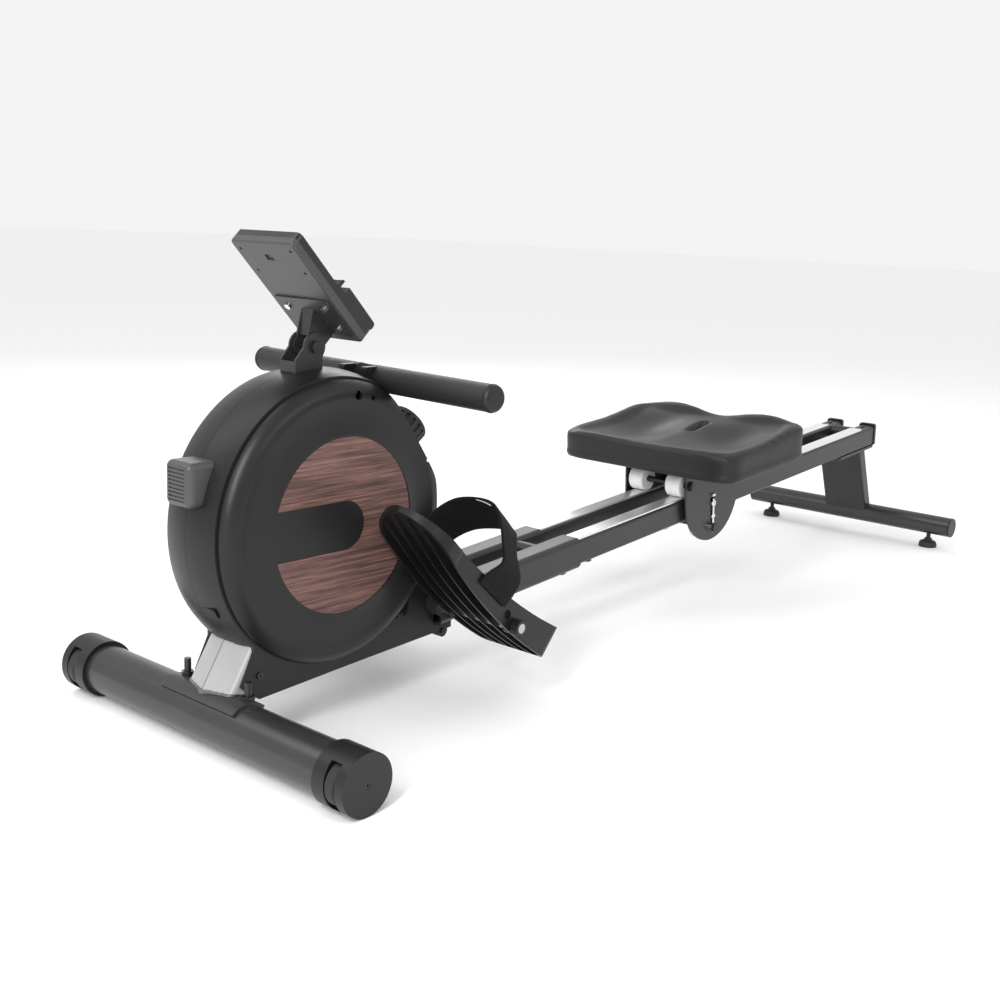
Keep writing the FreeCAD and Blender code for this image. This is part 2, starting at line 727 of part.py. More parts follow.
def screw_hole_y(x, z, y, side):
    return rod_y(x, z, SCREW_R + FIT, *sorted((side * (y - SCREW_L - 1), side * (y + 1))))


def build_housing():
    near = near_cover()
    openings = cover_openings()
    covers = {-1: near, 1: mirrored(near)}
    screws = []
    for side in SIDES:
        cover = cut_all(covers[side], openings).fuse(guide_lug(side)).removeSplitter()
        cover = cut_all(cover, rim_holes(side))
        for x, z, y in cover_screw_places():
            cover = cover.cut(screw_hole_y(x, z, y, side))
            screws.append(cross_screw_y(x, z, y, side))
        covers[side] = cover
    bumper = box(BUMPER_FACE_X, DRUM_X - CROWN_R / 2, -BUMPER_WIDTH / 2, BUMPER_WIDTH / 2,
                 BUMPER_Z - BUMPER_HEIGHT / 2, BUMPER_Z + BUMPER_HEIGHT / 2)
    bumper = bumper.makeFillet(BUMPER_ROUND, [e for e in bumper.Edges if e.BoundBox.XMin < BUMPER_FACE_X + 1])
    whole_drum = drum_outer()
    bumper = cut_all(bumper, [whole_drum, mirrored(whole_drum)])
    pitch = (BUMPER_HEIGHT - 2 * BUMPER_ROUND) / BUMPER_RIBS
    for i in range(BUMPER_RIBS + 1):
        z = BUMPER_Z - BUMPER_HEIGHT / 2 + BUMPER_ROUND + i * pitch
        groove = box(BUMPER_FACE_X - 1, BUMPER_FACE_X + BUMPER_RIB_DEPTH,
                     -BUMPER_WIDTH / 2 + BUMPER_ROUND, BUMPER_WIDTH / 2 - BUMPER_ROUND, z - 0.9, z + 0.9)
        bumper = bumper.cut(groove)
    inlays = []
    for side in SIDES:
        y0, y1 = sorted((side * (FACE_Y - INLAY_T), side * FACE_Y))
        inlays.append(inlay_shape(0, y0, y1))
    nodes["housing_left"] = covers[-1]
    nodes["housing_right"] = covers[1]
    nodes["front_bumper"] = bumper
    nodes["wood_panels"] = group(inlays)
    cap_screws = []
    for side in SIDES:
        cap_screws.append(cross_screw_y(0, STAB_Z, STAB_HALF - CAP_RECESS, side))
    nodes["cross_screws"] = group(screws + cap_screws + stop_screws())


# ================================================================ drive
def build_drive():
    beam_top = BEAM_BOTTOM + BEAM_HEIGHT
    outline = [(DRUM_X - PLATE_HALF_X, beam_top), (SPOOL_X + 13, beam_top), (SPOOL_X + 18, SPOOL_Z + 16),
               (SPOOL_X - 12, SPOOL_Z + 20), (DRUM_X + PLATE_HALF_X, DRUM_Z - 30),
               (DRUM_X + PLATE_HALF_X, PLATE_TOP), (DRUM_X - PLATE_HALF_X, PLATE_TOP)]
    foot_to = SPOOL_X - SPOOL_PULLEY_R - BELT_T - 6
    uprights = []
    for side in SIDES:
        y0, y1 = sorted((side * PLATE_INNER, side * (PLATE_INNER + PLATE_T)))
        uprights.append(polygon_y(outline, y0, y1))
    outer = PLATE_INNER + PLATE_T
    bracket = union(uprights + [box(DRUM_X - PLATE_HALF_X, foot_to, -outer, outer, beam_top, beam_top + PLATE_T)])
    pin_z = DRUM_Z + YOKE_PIVOT_UP
    holes = [rod_y(DRUM_X, DRUM_Z, AXLE_R + RUN, -60, 60), rod_y(SPOOL_X, SPOOL_Z, AXLE_R + RUN, -60, 60),
             rod_y(DRUM_X, pin_z, YOKE_PIN_R + RUN, -60, 60)]
    nodes["axle_bracket"] = cut_all(bracket, holes)
    reach = outer + 8
    axles = []
    for x, z in ((DRUM_X, DRUM_Z), (SPOOL_X, SPOOL_Z)):
        axle = rod_y(x, z, AXLE_R, -reach, reach)
        for side in SIDES:
            y0, y1 = sorted((side * outer, side * (outer + 5)))
            axle = axle.fuse(rod_y(x, z, AXLE_R + 4, y0, y1))
        axles.append(axle.removeSplitter())
    g = guide_roller_mid()
    axles.append(rod_y(DRUM_X, pin_z, YOKE_PIN_R, -outer, outer))
    axles.append(rod_y(g.x, g.z, GUIDE_PIN_R, -GUIDE_HALF - GUIDE_LUG_T, GUIDE_HALF + GUIDE_LUG_T))
    nodes["drive_axles"] = group(axles)

    fly0 = FLY_Y - FLY_WIDTH / 2
    fly1 = FLY_Y + FLY_WIDTH / 2
    hub1 = BELT_Y + BELT_W / 2 + 2
    wheel = ring_y(DRUM_X, DRUM_Z, FLY_R, FLY_R - FLY_RIM, fly0, fly1)
    web = rod_y(DRUM_X, DRUM_Z, FLY_R - FLY_RIM + 1, FLY_Y - FLY_WEB / 2, FLY_Y + FLY_WEB / 2)
    hub = rod_y(DRUM_X, DRUM_Z, HUB_R, fly0 - 4, BELT_Y - BELT_W / 2 - 2)
    pulley = rod_y(DRUM_X, DRUM_Z, FLY_PULLEY_R, BELT_Y - BELT_W / 2 - 2, hub1)
    bore = rod_y(DRUM_X, DRUM_Z, AXLE_R + 2, fly0 - 5, hub1 + 1)
    pockets = [rod_y(DRUM_X, DRUM_Z, BEARING_R + FIT, fly0 - 4, fly0 - 4 + BEARING_W),
               rod_y(DRUM_X, DRUM_Z, BEARING_R + FIT, hub1 - BEARING_W, hub1)]
    nodes["flywheel"] = cut_all(union([wheel, web, hub, pulley]), [bore] + pockets)
    nodes["flywheel_bearings"] = group([
        ring_y(DRUM_X, DRUM_Z, BEARING_R, AXLE_R + RUN, fly0 - 4, fly0 - 4 + BEARING_W),
        ring_y(DRUM_X, DRUM_Z, BEARING_R, AXLE_R + RUN, hub1 - BEARING_W, hub1)])

    inner_loop = belt_loop(GAP)
    outer_loop = belt_loop(GAP + BELT_T)
    nodes["drive_belt"] = outer_loop.cut(inner_loop)

    half = STRAP_W / 2 + 1
    core = rod_y(SPOOL_X, SPOOL_Z, SPOOL_CORE_R, -half, half)
    flanges = [rod_y(SPOOL_X, SPOOL_Z, SPOOL_FLANGE_R, -half - 1.5, -half),
               rod_y(SPOOL_X, SPOOL_Z, SPOOL_FLANGE_R, half, half + 1.5)]
    drive = rod_y(SPOOL_X, SPOOL_Z, SPOOL_PULLEY_R, BELT_Y - BELT_W / 2 - 2, BELT_Y + BELT_W / 2 + 2)
    spool = union([core, drive] + flanges).cut(rod_y(SPOOL_X, SPOOL_Z, AXLE_R + RUN, -60, 60))
    nodes["strap_spool"] = spool.removeSplitter()
    spring0 = -half - 1.5 - 2 - SPRING_W
    nodes["recoil_spring"] = ring_y(SPOOL_X, SPOOL_Z, SPRING_R, AXLE_R + 3, spring0, spring0 + SPRING_W)

    roller = rod_y(g.x, g.z, ROLLER_G_R, -GUIDE_HALF + 1, GUIDE_HALF - 1)
    roller = roller.cut(rod_y(g.x, g.z, GUIDE_PIN_R + RUN, -60, 60))
    nodes["guide_roller"] = roller
    nodes["magnet_yoke"] = magnet_yoke()


def belt_loop(offset):
    """The solid inside a belt that runs round both pulleys."""
    y0 = BELT_Y - BELT_W / 2
    y1 = BELT_Y + BELT_W / 2
    small = FLY_PULLEY_R + offset
    large = SPOOL_PULLEY_R + offset
    dx = SPOOL_X - DRUM_X
    dz = SPOOL_Z - DRUM_Z
    span = math.hypot(dx, dz)
    base = math.atan2(dz, dx)
    lean = math.acos((small - large) / span)
    corners = []
    for sign in (1, -1):
        a = base + sign * lean
        ends = [(DRUM_X + small * math.cos(a), DRUM_Z + small * math.sin(a)),
                (SPOOL_X + large * math.cos(a), SPOOL_Z + large * math.sin(a))]
        corners += ends if sign == 1 else ends[::-1]
    loop = polygon_y(corners, y0, y1)
    return union([loop, rod_y(DRUM_X, DRUM_Z, small, y0, y1), rod_y(SPOOL_X, SPOOL_Z, large, y0, y1)])


def guide_roller_mid():
    return facet_point(FACET_N - SHELL - ROLLER_G_DEPTH, ROLLER_G_ALONG)


def guide_lug(side):
    """A lug on the inside of the flat that carries one end of the guide roller's pin."""
    g = guide_roller_mid()
    y0, y1 = sorted((side * GUIDE_HALF, side * (GUIDE_HALF + GUIDE_LUG_T)))
    lug = box(-GUIDE_LUG_R, ROLLER_G_DEPTH + 1, y0, y1, -GUIDE_LUG_R, GUIDE_LUG_R)
    lug = placed(lug, FreeCAD.Placement(g, FreeCAD.Rotation(Y_AXIS, -FACET_ANGLE)))
    return lug.cut(rod_y(g.x, g.z, GUIDE_PIN_R + FIT, y0 - 1, y1 + 1))


def magnet_yoke():
    fly0 = FLY_Y - FLY_WIDTH / 2
    fly1 = FLY_Y + FLY_WIDTH / 2
    y0 = fly0 - YOKE_AIR - YOKE_CHEEK
    y1 = fly1 + YOKE_AIR + YOKE_CHEEK
    far = 2 * YOKE_OUTER_R
    a0 = math.radians(YOKE_FROM)
    a1 = math.radians(YOKE_TO)
    wedge = polygon_y([(DRUM_X, DRUM_Z), (DRUM_X + far * math.cos(a0), DRUM_Z + far * math.sin(a0)),
                       (DRUM_X + far * math.cos(a1), DRUM_Z + far * math.sin(a1))], y0, y1)
    arc_block = ring_y(DRUM_X, DRUM_Z, YOKE_OUTER_R, YOKE_INNER_R, y0, y1).common(wedge)
    slot = rod_y(DRUM_X, DRUM_Z, FLY_R + YOKE_AIR, fly0 - YOKE_AIR, fly1 + YOKE_AIR)
    pin_z = DRUM_Z + YOKE_PIVOT_UP
    lug_r = YOKE_PIN_R + 4
    reach = DRUM_X + (YOKE_OUTER_R - 3) * math.cos(a0)
    lug = rod_y(DRUM_X, pin_z, lug_r, y0, y1)
    arm = box(reach - 4, DRUM_X, y0, y1, DRUM_Z + FLY_R + YOKE_AIR + 1, pin_z + 2)
    yoke = union([arc_block, lug, arm]).cut(slot)
    return yoke.cut(rod_y(DRUM_X, pin_z, YOKE_PIN_R + RUN, y0 - 1, y1 + 1))


# ================================================================ tension knob
def build_knob():
    low = FACET_N + KNOB_LOW
    body = rod(facet_point(low, KNOB_ALONG), facet_point(low + KNOB_HEIGHT, KNOB_ALONG), KNOB_R)
    body = body.makeFillet(3.0, [e for e in body.Edges if e.Curve.TypeId == "Part::GeomCircle"])
    stem = rod(facet_point(FACET_N - KNOB_STEM_IN, KNOB_ALONG), facet_point(low + 2, KNOB_ALONG), KNOB_STEM_R)
    knob = body.fuse(stem).removeSplitter()
    start = facet_point(low - 1, KNOB_ALONG)
    for i in range(KNOB_FLUTES):
        a = 2 * math.pi * i / KNOB_FLUTES
        off = FACET_UP * (KNOB_R * math.cos(a)) + Y_AXIS * (KNOB_R * math.sin(a))
        flute = rod(start + off, start + off + FACET_DIR * (KNOB_HEIGHT - 5), KNOB_FLUTE_R)
        knob = knob.cut(flute)
    nodes["tension_knob"] = knob


# ================================================================ handle and pull strap
HANDLE = FreeCAD.Placement(V(HANDLE_X, 0, HANDLE_Z), FreeCAD.Rotation(Z_AXIS, -HANDLE_YAW))


def build_handle():
    body_half = HANDLE_HALF - HANDLE_CAP
    core = rod_y(0, 0, HANDLE_CORE_R, -body_half, body_half)
    nodes["handlebar"] = placed(core, HANDLE)
    grips = []
    caps = []
    for side in SIDES:
        y0, y1 = sorted((side * GRIP_GAP_HALF, side * body_half))
        grips.append(placed(ring_y(0, 0, GRIP_R, HANDLE_CORE_R, y0, y1), HANDLE))
        y0, y1 = sorted((side * body_half, side * HANDLE_HALF))
        cap = rod_y(0, 0, GRIP_R, y0, y1)
        outer = [e for e in cap.Edges if abs(e.BoundBox.YMin - side * HANDLE_HALF) < 1e-6
                 and abs(e.BoundBox.YMax - side * HANDLE_HALF) < 1e-6]
        caps.append(placed(cap.makeFillet(HANDLE_CAP - 1, outer), HANDLE))
    nodes["handle_grips"] = group(grips)
    nodes["handle_end_caps"] = group(caps)

    loop = placed(ring_y(0, 0, GRIP_R, HANDLE_CORE_R, -STRAP_W / 2, STRAP_W / 2), HANDLE)
    g = guide_roller_mid()
    bend_r = ROLLER_G_R + STRAP_T / 2 + GAP
    round_roller = []
    for degrees in (180, 165, 150, 135):
        a = math.radians(degrees)
        round_roller.append((g.x + bend_r * math.cos(a), g.z + bend_r * math.sin(a)))
    start = (SPOOL_X - SPOOL_CORE_R - STRAP_T / 2 - GAP, SPOOL_Z)
    route = [start] + round_roller + [(HANDLE_X, HANDLE_Z - GRIP_R + STRAP_T)]
    run = ribbon(route, STRAP_T, STRAP_W)
    clear_core = placed(rod_y(0, 0, HANDLE_CORE_R, -GRIP_GAP_HALF, GRIP_GAP_HALF), HANDLE)
    nodes["pull_strap"] = loop.fuse(run).cut(clear_core).removeSplitter()


def build_cradle():
    """Two prongs on the top of the drum that hold the bar until it is pulled."""
    low = box(HANDLE_X - 27, HANDLE_X + 12, CRADLE_IN, CRADLE_OUT, HANDLE_Z - 45, HANDLE_Z + 15)
    low = round_edges(low, 3.0, Y_AXIS)
    prongs = [low, mirrored(low)]
    pull = RAIL.Rotation.multVec(X_AXIS)
    cutter = placed(rod_y(0, 0, GRIP_R + CRADLE_AIR, -60, 60), HANDLE)
    slab = box(0, 80, -60, 60, -GRIP_R - CRADLE_AIR, GRIP_R + 30)
    slab = placed(slab, FreeCAD.Placement(V(0, 0, 0), FreeCAD.Rotation(Y_AXIS, -RAIL_SLOPE)))
    slab = placed(slab, HANDLE)
    outer = drum_outer()
    solid = union([outer, mirrored(outer)]).cut(below_facet(FACET_N))
    shaped = [cut_all(prong, [cutter, slab, solid]) for prong in prongs]
    nodes["handle_cradle"] = group(shaped)
    return pull


# ================================================================ console
def console_case():
    case = box(0, CON_L, -CON_HALF, CON_HALF, 0, CON_BACK_T + CON_FRONT_T)
    return round_edges(case, CON_CORNER, Z_AXIS)


def build_console():
    split = CON_BACK_T
    case = console_case()
    back = case.common(box(-1, CON_L + 1, -CON_HALF, CON_HALF, 0, split))
    back = back.makeFillet(3.0, [e for e in back.Edges if e.BoundBox.ZMax < 0.01])
    back = back.cut(box(4, CON_L - 4, -CON_HALF + 4, CON_HALF - 4, 3, split + 1))
    door_room = box(DOOR_FROM - FIT, DOOR_TO + FIT, -DOOR_HALF - FIT, DOOR_HALF + FIT, -1, DOOR_T + GAP)
    battery_bay = box(DOOR_FROM + 3, DOOR_TO - 3, -DOOR_HALF + 3, DOOR_HALF - 3, 0, 4)
    latch = box(DOOR_FROM - 9, DOOR_FROM - 1, -4, 8, -1, 2)
    back = cut_all(back, [door_room, battery_bay, latch])
    for x, y in CON_HOLES:
        back = cut_all(back, [rod_z(x, side * y, SCREW_R, -1, 4) for side in SIDES])

    front = case.common(box(-1, CON_L + 1, -CON_HALF, CON_HALF, split, split + CON_FRONT_T))
    top = split + CON_FRONT_T
    rest = box(REST_FROM, CON_L - 1, -CON_HALF + 1, CON_HALF - 1, top, top + REST_T)
    rest = round_edges(rest, 4.0, Y_AXIS)
    rest = rest.cut(box(REST_FROM + 5, REST_FROM + 5 + REST_SLOT, -CON_HALF, CON_HALF, top + 2, top + REST_T + 1))
    front = front.fuse(rest).removeSplitter()
    front = front.cut(box(6, CON_L - 6, -CON_HALF + 6, CON_HALF - 6, split - 1, top - 3))
    front = front.cut(box(SCREEN_FROM, SCREEN_TO, -SCREEN_HALF, SCREEN_HALF, top - SCREEN_T, top + 1))
    front = front.cut(rod_z(BUTTON_X, 0, BUTTON_R + GAP, split, top + 1))
    screen = box(SCREEN_FROM + FIT, SCREEN_TO - FIT, -SCREEN_HALF + FIT, SCREEN_HALF - FIT,
                 top - SCREEN_T, top - 0.3)
    button = rod_z(BUTTON_X, 0, BUTTON_R, top - 4, top + BUTTON_UP)
    button = button.makeFillet(0.8, [e for e in button.Edges if e.BoundBox.ZMin > top])
    door = box(DOOR_FROM, DOOR_TO, -DOOR_HALF, DOOR_HALF, 0, DOOR_T)

    plate = box(CON_PLATE_FROM, CON_PLATE_TO, -CON_PLATE_HALF, CON_PLATE_HALF, -CON_PLATE_T, 0)
    plate = round_edges(plate, 4.0, Z_AXIS)
    screws = []
    for x in CON_SCREW_X:
        for side in SIDES:
            y = side * CON_SCREW_Y
            back = back.cut(rod_z(x, y, SCREW_R + FIT, -1, 4))
            plate = plate.cut(rod_z(x, y, SCREW_R + FIT, -5, 1))
            screw = rod_z(x, y, SCREW_HEAD_R, -CON_PLATE_T - SCREW_HEAD_H, -CON_PLATE_T)
            screws.append(screw.fuse(rod_z(x, y, SCREW_R, -CON_PLATE_T, 2.9)).removeSplitter())
    nodes["console_back"] = on_console(back)
    nodes["console_front"] = on_console(front)
    nodes["console_screen"] = on_console(screen)
    nodes["console_button"] = on_console(button)
    nodes["battery_door"] = on_console(door)
    nodes["bracket_screws"] = group([on_console(s) for s in screws])
    nodes["console_bracket"] = console_bracket(on_console(plate))


def console_bracket(plate):
    """A bent bracket: a plate on the case and two ears round the pivot bolt."""
    inverse = CONSOLE.inverse()
    pivot = inverse.multVec(V(PIVOT_X, 0, PIVOT_Z))
    ears = []
    reach = EAR_R
    for side in SIDES:
        y0, y1 = sorted((side * (EAR_HALF - EAR_T), side * EAR_HALF))
        blank = polygon_y([(pivot.x - reach, pivot.z), (pivot.x + reach, pivot.z),
                           (pivot.x + reach, -CON_PLATE_T), (CON_SCREW_X[0] + 2, -CON_PLATE_T)], y0, y1)
        ears.append(blank.fuse(rod_y(pivot.x, pivot.z, reach, y0, y1)))
    web = polygon_y([(pivot.x - reach, pivot.z + 6), (pivot.x - reach + 2 * EAR_T, pivot.z + 6),
                     (CON_SCREW_X[0] + 2 + 2 * EAR_T, -CON_PLATE_T), (CON_SCREW_X[0] + 2, -CON_PLATE_T)],
                    -EAR_HALF, EAR_HALF)
    bent = union(ears + [web])
    whole = on_console(bent).fuse(plate).removeSplitter()
    return whole.cut(rod_y(PIVOT_X, PIVOT_Z, PIVOT_R + RUN, -60, 60))


def build_console_post():
    base = PLATE_TOP
    sides = []
    for side in SIDES:
        y0, y1 = sorted((side * (CPOST_HALF - CPOST_T), side * CPOST_HALF))
        cheek = polygon_y([(CPOST_X0, base), (CPOST_X1, base), (CPOST_X1, PIVOT_Z - 12),
                           (PIVOT_X + CPOST_EAR_R, PIVOT_Z), (PIVOT_X - CPOST_EAR_R, PIVOT_Z),
                           (CPOST_X0, PIVOT_Z - 14)], y0, y1)
        sides.append(cheek.fuse(rod_y(PIVOT_X, PIVOT_Z, CPOST_EAR_R, y0, y1)))
    web = box(CPOST_X0, CPOST_X0 + CPOST_T, -CPOST_HALF, CPOST_HALF, base, CPOST_WEB_TOP)
    foot = box(DRUM_X - PLATE_HALF_X, DRUM_X + PLATE_HALF_X, -PLATE_INNER - PLATE_T, PLATE_INNER + PLATE_T,
               base, base + PLATE_T)
    post = union(sides + [web, foot])
    nodes["console_post"] = post.cut(rod_y(PIVOT_X, PIVOT_Z, PIVOT_R + RUN, -60, 60))
    bolt = rod_y(PIVOT_X, PIVOT_Z, PIVOT_R, -CPOST_HALF - 5, CPOST_HALF + 7)
    head = placed(hexagon(0, 0, 0, 5, NUT_AF), FreeCAD.Placement(V(PIVOT_X, -CPOST_HALF, PIVOT_Z),
                                                                 FreeCAD.Rotation(X_AXIS, 90)))
    nut = placed(hexagon(0, 0, 0, 6, NUT_AF), FreeCAD.Placement(V(PIVOT_X, CPOST_HALF + 6, PIVOT_Z),
                                                                FreeCAD.Rotation(X_AXIS, 90)))
    nodes["console_pivot_bolt"] = union([bolt, head, nut])


# ================================================================ pedals
def pedal_frame():
    """Local frame of a pedal: x runs from the heel to the toe, z towards the rower's sole."""
    rest = FreeCAD.Placement(V(SHAFT_X, 0, SHAFT_Z), FreeCAD.Rotation(Y_AXIS, 180 + PEDAL_TILT))
    flip = FreeCAD.Placement(V(0, 0, 0), FreeCAD.Rotation(X_AXIS, 180))
    shift = FreeCAD.Placement(V(-PEDAL_SHAFT_S, 0, 0), FreeCAD.Rotation())
    return rest.multiply(flip).multiply(shift)


def pedal_blank():
    half = (PEDAL_OUT - PEDAL_IN) / 2 + 1
    tip = PEDAL_LENGTH + 4
    under = arc((1, 0), (0.39 * tip, -PEDAL_BELLY), (tip, PEDAL_TOE_UP))
    rim = PEDAL_TOE_UP + PEDAL_TOE_H
    nose = line((tip, PEDAL_TOE_UP), (tip, rim))
    over = arc((tip, rim), (0.62 * tip, PEDAL_TOE_UP), (8, PEDAL_HEEL_H))
    heel = line((8, PEDAL_HEEL_H), (1, 0))
    side_view = edges_y([under, nose, over, heel], -half, half)
    return side_view.common(pedal_plan(0))


def pedal_plan(inset):
    """Outline seen from above: square heel with round corners, round toe."""
    half = (PEDAL_OUT - PEDAL_IN) / 2 - inset
    start = inset
    toe = PEDAL_LENGTH - inset
    shoulder = 0.76 * PEDAL_LENGTH
    corner = 14.0
    z0 = -60
    a = V(start + corner, -half, z0)
    b = V(shoulder, -half, z0)
    c = V(toe, 0, z0)
    d = V(shoulder, half, z0)
    e = V(start + corner, half, z0)
    f = V(start, half - corner, z0)
    g = V(start, -half + corner, z0)
    bulge = 0.72
    bc = V(shoulder + bulge * (toe - shoulder), -half * math.sqrt(1 - bulge * bulge) - 3, z0)
    cd = V(bc.x, -bc.y, z0)
    k = corner * (1 - math.sqrt(0.5))
    ef = V(start + k, half - k, z0)
    ga = V(start + k, -half + k, z0)
    edges = [Part.LineSegment(a, b).toShape(), Part.Arc(b, bc, c).toShape(), Part.Arc(c, cd, d).toShape(),
             Part.LineSegment(d, e).toShape(), Part.Arc(e, ef, f).toShape(), Part.LineSegment(f, g).toShape(),
             Part.Arc(g, ga, a).toShape()]
    return Part.Face(Part.Wire(edges)).extrude(V(0, 0, 240))


PEDAL_FLOOR_HEEL = 15.0
PEDAL_FLOOR_LOW = 8.5
PEDAL_FLOOR_TOE = 22.5


def pedal_floor_band(low):
    """Everything above the footbed, or everything under it down to the ribs' lower edges."""
    tip = PEDAL_LENGTH
    drop = low
    curve = arc((-10, PEDAL_FLOOR_HEEL - drop), (0.39 * tip, PEDAL_FLOOR_LOW - drop), (tip + 10, PEDAL_FLOOR_TOE - drop))
    far = 120 if low == 0 else -120
    left = line((-10, far), (-10, PEDAL_FLOOR_HEEL - drop))
    right = line((tip + 10, PEDAL_FLOOR_TOE - drop), (tip + 10, far))
    close = line((tip + 10, far), (-10, far))
    return edges_y([left, curve, right, close], -100, 100)


def pedal():
    blank = pedal_blank()
    pocket = pedal_plan(PEDAL_WALL).common(pedal_floor_band(0))
    tray = blank.cut(pocket)
    under = pedal_plan(PEDAL_WALL).common(pedal_floor_band(PEDAL_FLOOR_T))
    half = (PEDAL_OUT - PEDAL_IN) / 2
    clear = 2 * (half - PEDAL_WALL)
    pitch = clear / (PEDAL_RIBS + 1)
    for i in range(1, PEDAL_RIBS + 1):
        y = -half + PEDAL_WALL + i * pitch
        under = under.cut(box(-20, PEDAL_LENGTH + 20, y - PEDAL_RIB_T / 2, y + PEDAL_RIB_T / 2, -200, 200))
    tray = tray.cut(under)
    boss = [rod_y(PEDAL_SHAFT_S, 0, SHAFT_R + 3.5, -half, -half + 12), rod_y(PEDAL_SHAFT_S, 0, SHAFT_R + 3.5, half - 12, half)]
    tray = union([tray] + boss)
    tray = tray.cut(rod_y(PEDAL_SHAFT_S, 0, SHAFT_R + RUN, -100, 100))
    spare = rod_y(PEDAL_SHAFT_S + 22, 3, 5.5, -half - 1, -half + PEDAL_WALL + 0.5)
    return tray.cut(spare)


def pedal_strap():
    half = (PEDAL_OUT - PEDAL_IN) / 2
    top = PSTRAP_TOP

    def arch(grow):
        w = half + PSTRAP_T - grow
        return [line((-w, 6), (-w, PSTRAP_LEG)), arc((-w, PSTRAP_LEG), (0, top - grow), (w, PSTRAP_LEG)),
                line((w, PSTRAP_LEG), (w, 6)), line((w, 6), (-w, 6))]
    outer = edges_y(arch(0), 0, PSTRAP_W)
    inner = edges_y(arch(PSTRAP_T), -1, PSTRAP_W + 1)
    band = outer.cut(inner)
    turn = FreeCAD.Placement(V(PSTRAP_FROM + PSTRAP_W, 0, 0), FreeCAD.Rotation(Z_AXIS, 90))
    return placed(band, turn)


def build_pedals():
    frame = pedal_frame()
    tray = placed(pedal(), frame)
    strap = placed(pedal_strap(), frame)
    mid = (PEDAL_IN + PEDAL_OUT) / 2
    for side, name in ((-1, "left"), (1, "right")):
        one = tray if side == -1 else mirrored(tray)
        one = one.copy()
        one.translate(V(0, side * mid, 0))
        nodes["pedal_" + name] = one
        loop = strap if side == -1 else mirrored(strap)
        loop = loop.copy()
        loop.translate(V(0, side * mid, 0))
        nodes["pedal_strap_" + name] = loop
    end = PEDAL_OUT + GAP + PEDAL_NUT_T
    shaft = rod_y(SHAFT_X, SHAFT_Z, SHAFT_R, -end, end)
    collars = []
    nuts = []
    for side in SIDES:
        y0, y1 = sorted((side * PIPE_HALF, side * (PEDAL_IN - GAP)))
        collars.append(rod_y(SHAFT_X, SHAFT_Z, SHAFT_R + 3, y0, y1))
        y0, y1 = sorted((side * (PEDAL_OUT + GAP), side * end))
        nut = rod_y(SHAFT_X, SHAFT_Z, PEDAL_NUT_R, y0, y1).cut(shaft)
        for i in range(12):
            a = math.radians(30 * i)
            groove = rod_y(SHAFT_X + PEDAL_NUT_R * math.cos(a), SHAFT_Z + PEDAL_NUT_R * math.sin(a), 1.1, y0, y1)
            nut = nut.cut(groove)
        nuts.append(nut)
    nodes["pedal_shaft"] = union([shaft] + collars)
    nodes["pedal_nuts"] = group(nuts)


# ================================================================ rails
RAIL_TOP = -STRIP_T
RAIL_BOTTOM = RAIL_TOP - RAIL_H
SLEEVE_W = RAIL_W + 2 * (SLEEVE_PLAY + SLEEVE_WALL)
SLEEVE_HIGH = RAIL_TOP + SLEEVE_PLAY + SLEEVE_WALL
SLEEVE_LOW = RAIL_BOTTOM - SLEEVE_PLAY - SLEEVE_WALL


def stop_screws():
    """A cross-head screw through the top of each rail behind its strip."""
    screws = []
    for side in SIDES:
        y = side * RAIL_Y
        head = rod_z(STOP_SCREW_X, y, SCREW_HEAD_R, RAIL_TOP, RAIL_TOP + SCREW_HEAD_H)
        shank = rod_z(STOP_SCREW_X, y, SCREW_R, RAIL_TOP - SCREW_L, RAIL_TOP)
        screws.append(on_rail(head.fuse(shank).removeSplitter()))
    return screws


def frame_bolt(x, y, seat):
    """A hex bolt driven up into a rail; seat is the surface under which its head lies."""
    head = hexagon(x, y, seat - FRAME_BOLT_HEAD, seat, NUT_AF)
    return head.fuse(rod_z(x, y, FRAME_BOLT_R, seat, seat + FRAME_BOLT_L)).removeSplitter()


def bolt_hole(x, y):
    return rod_z(x, y, FRAME_BOLT_R + FIT, RAIL_BOTTOM - 20, RAIL_BOTTOM + RAIL_WALL + 8)


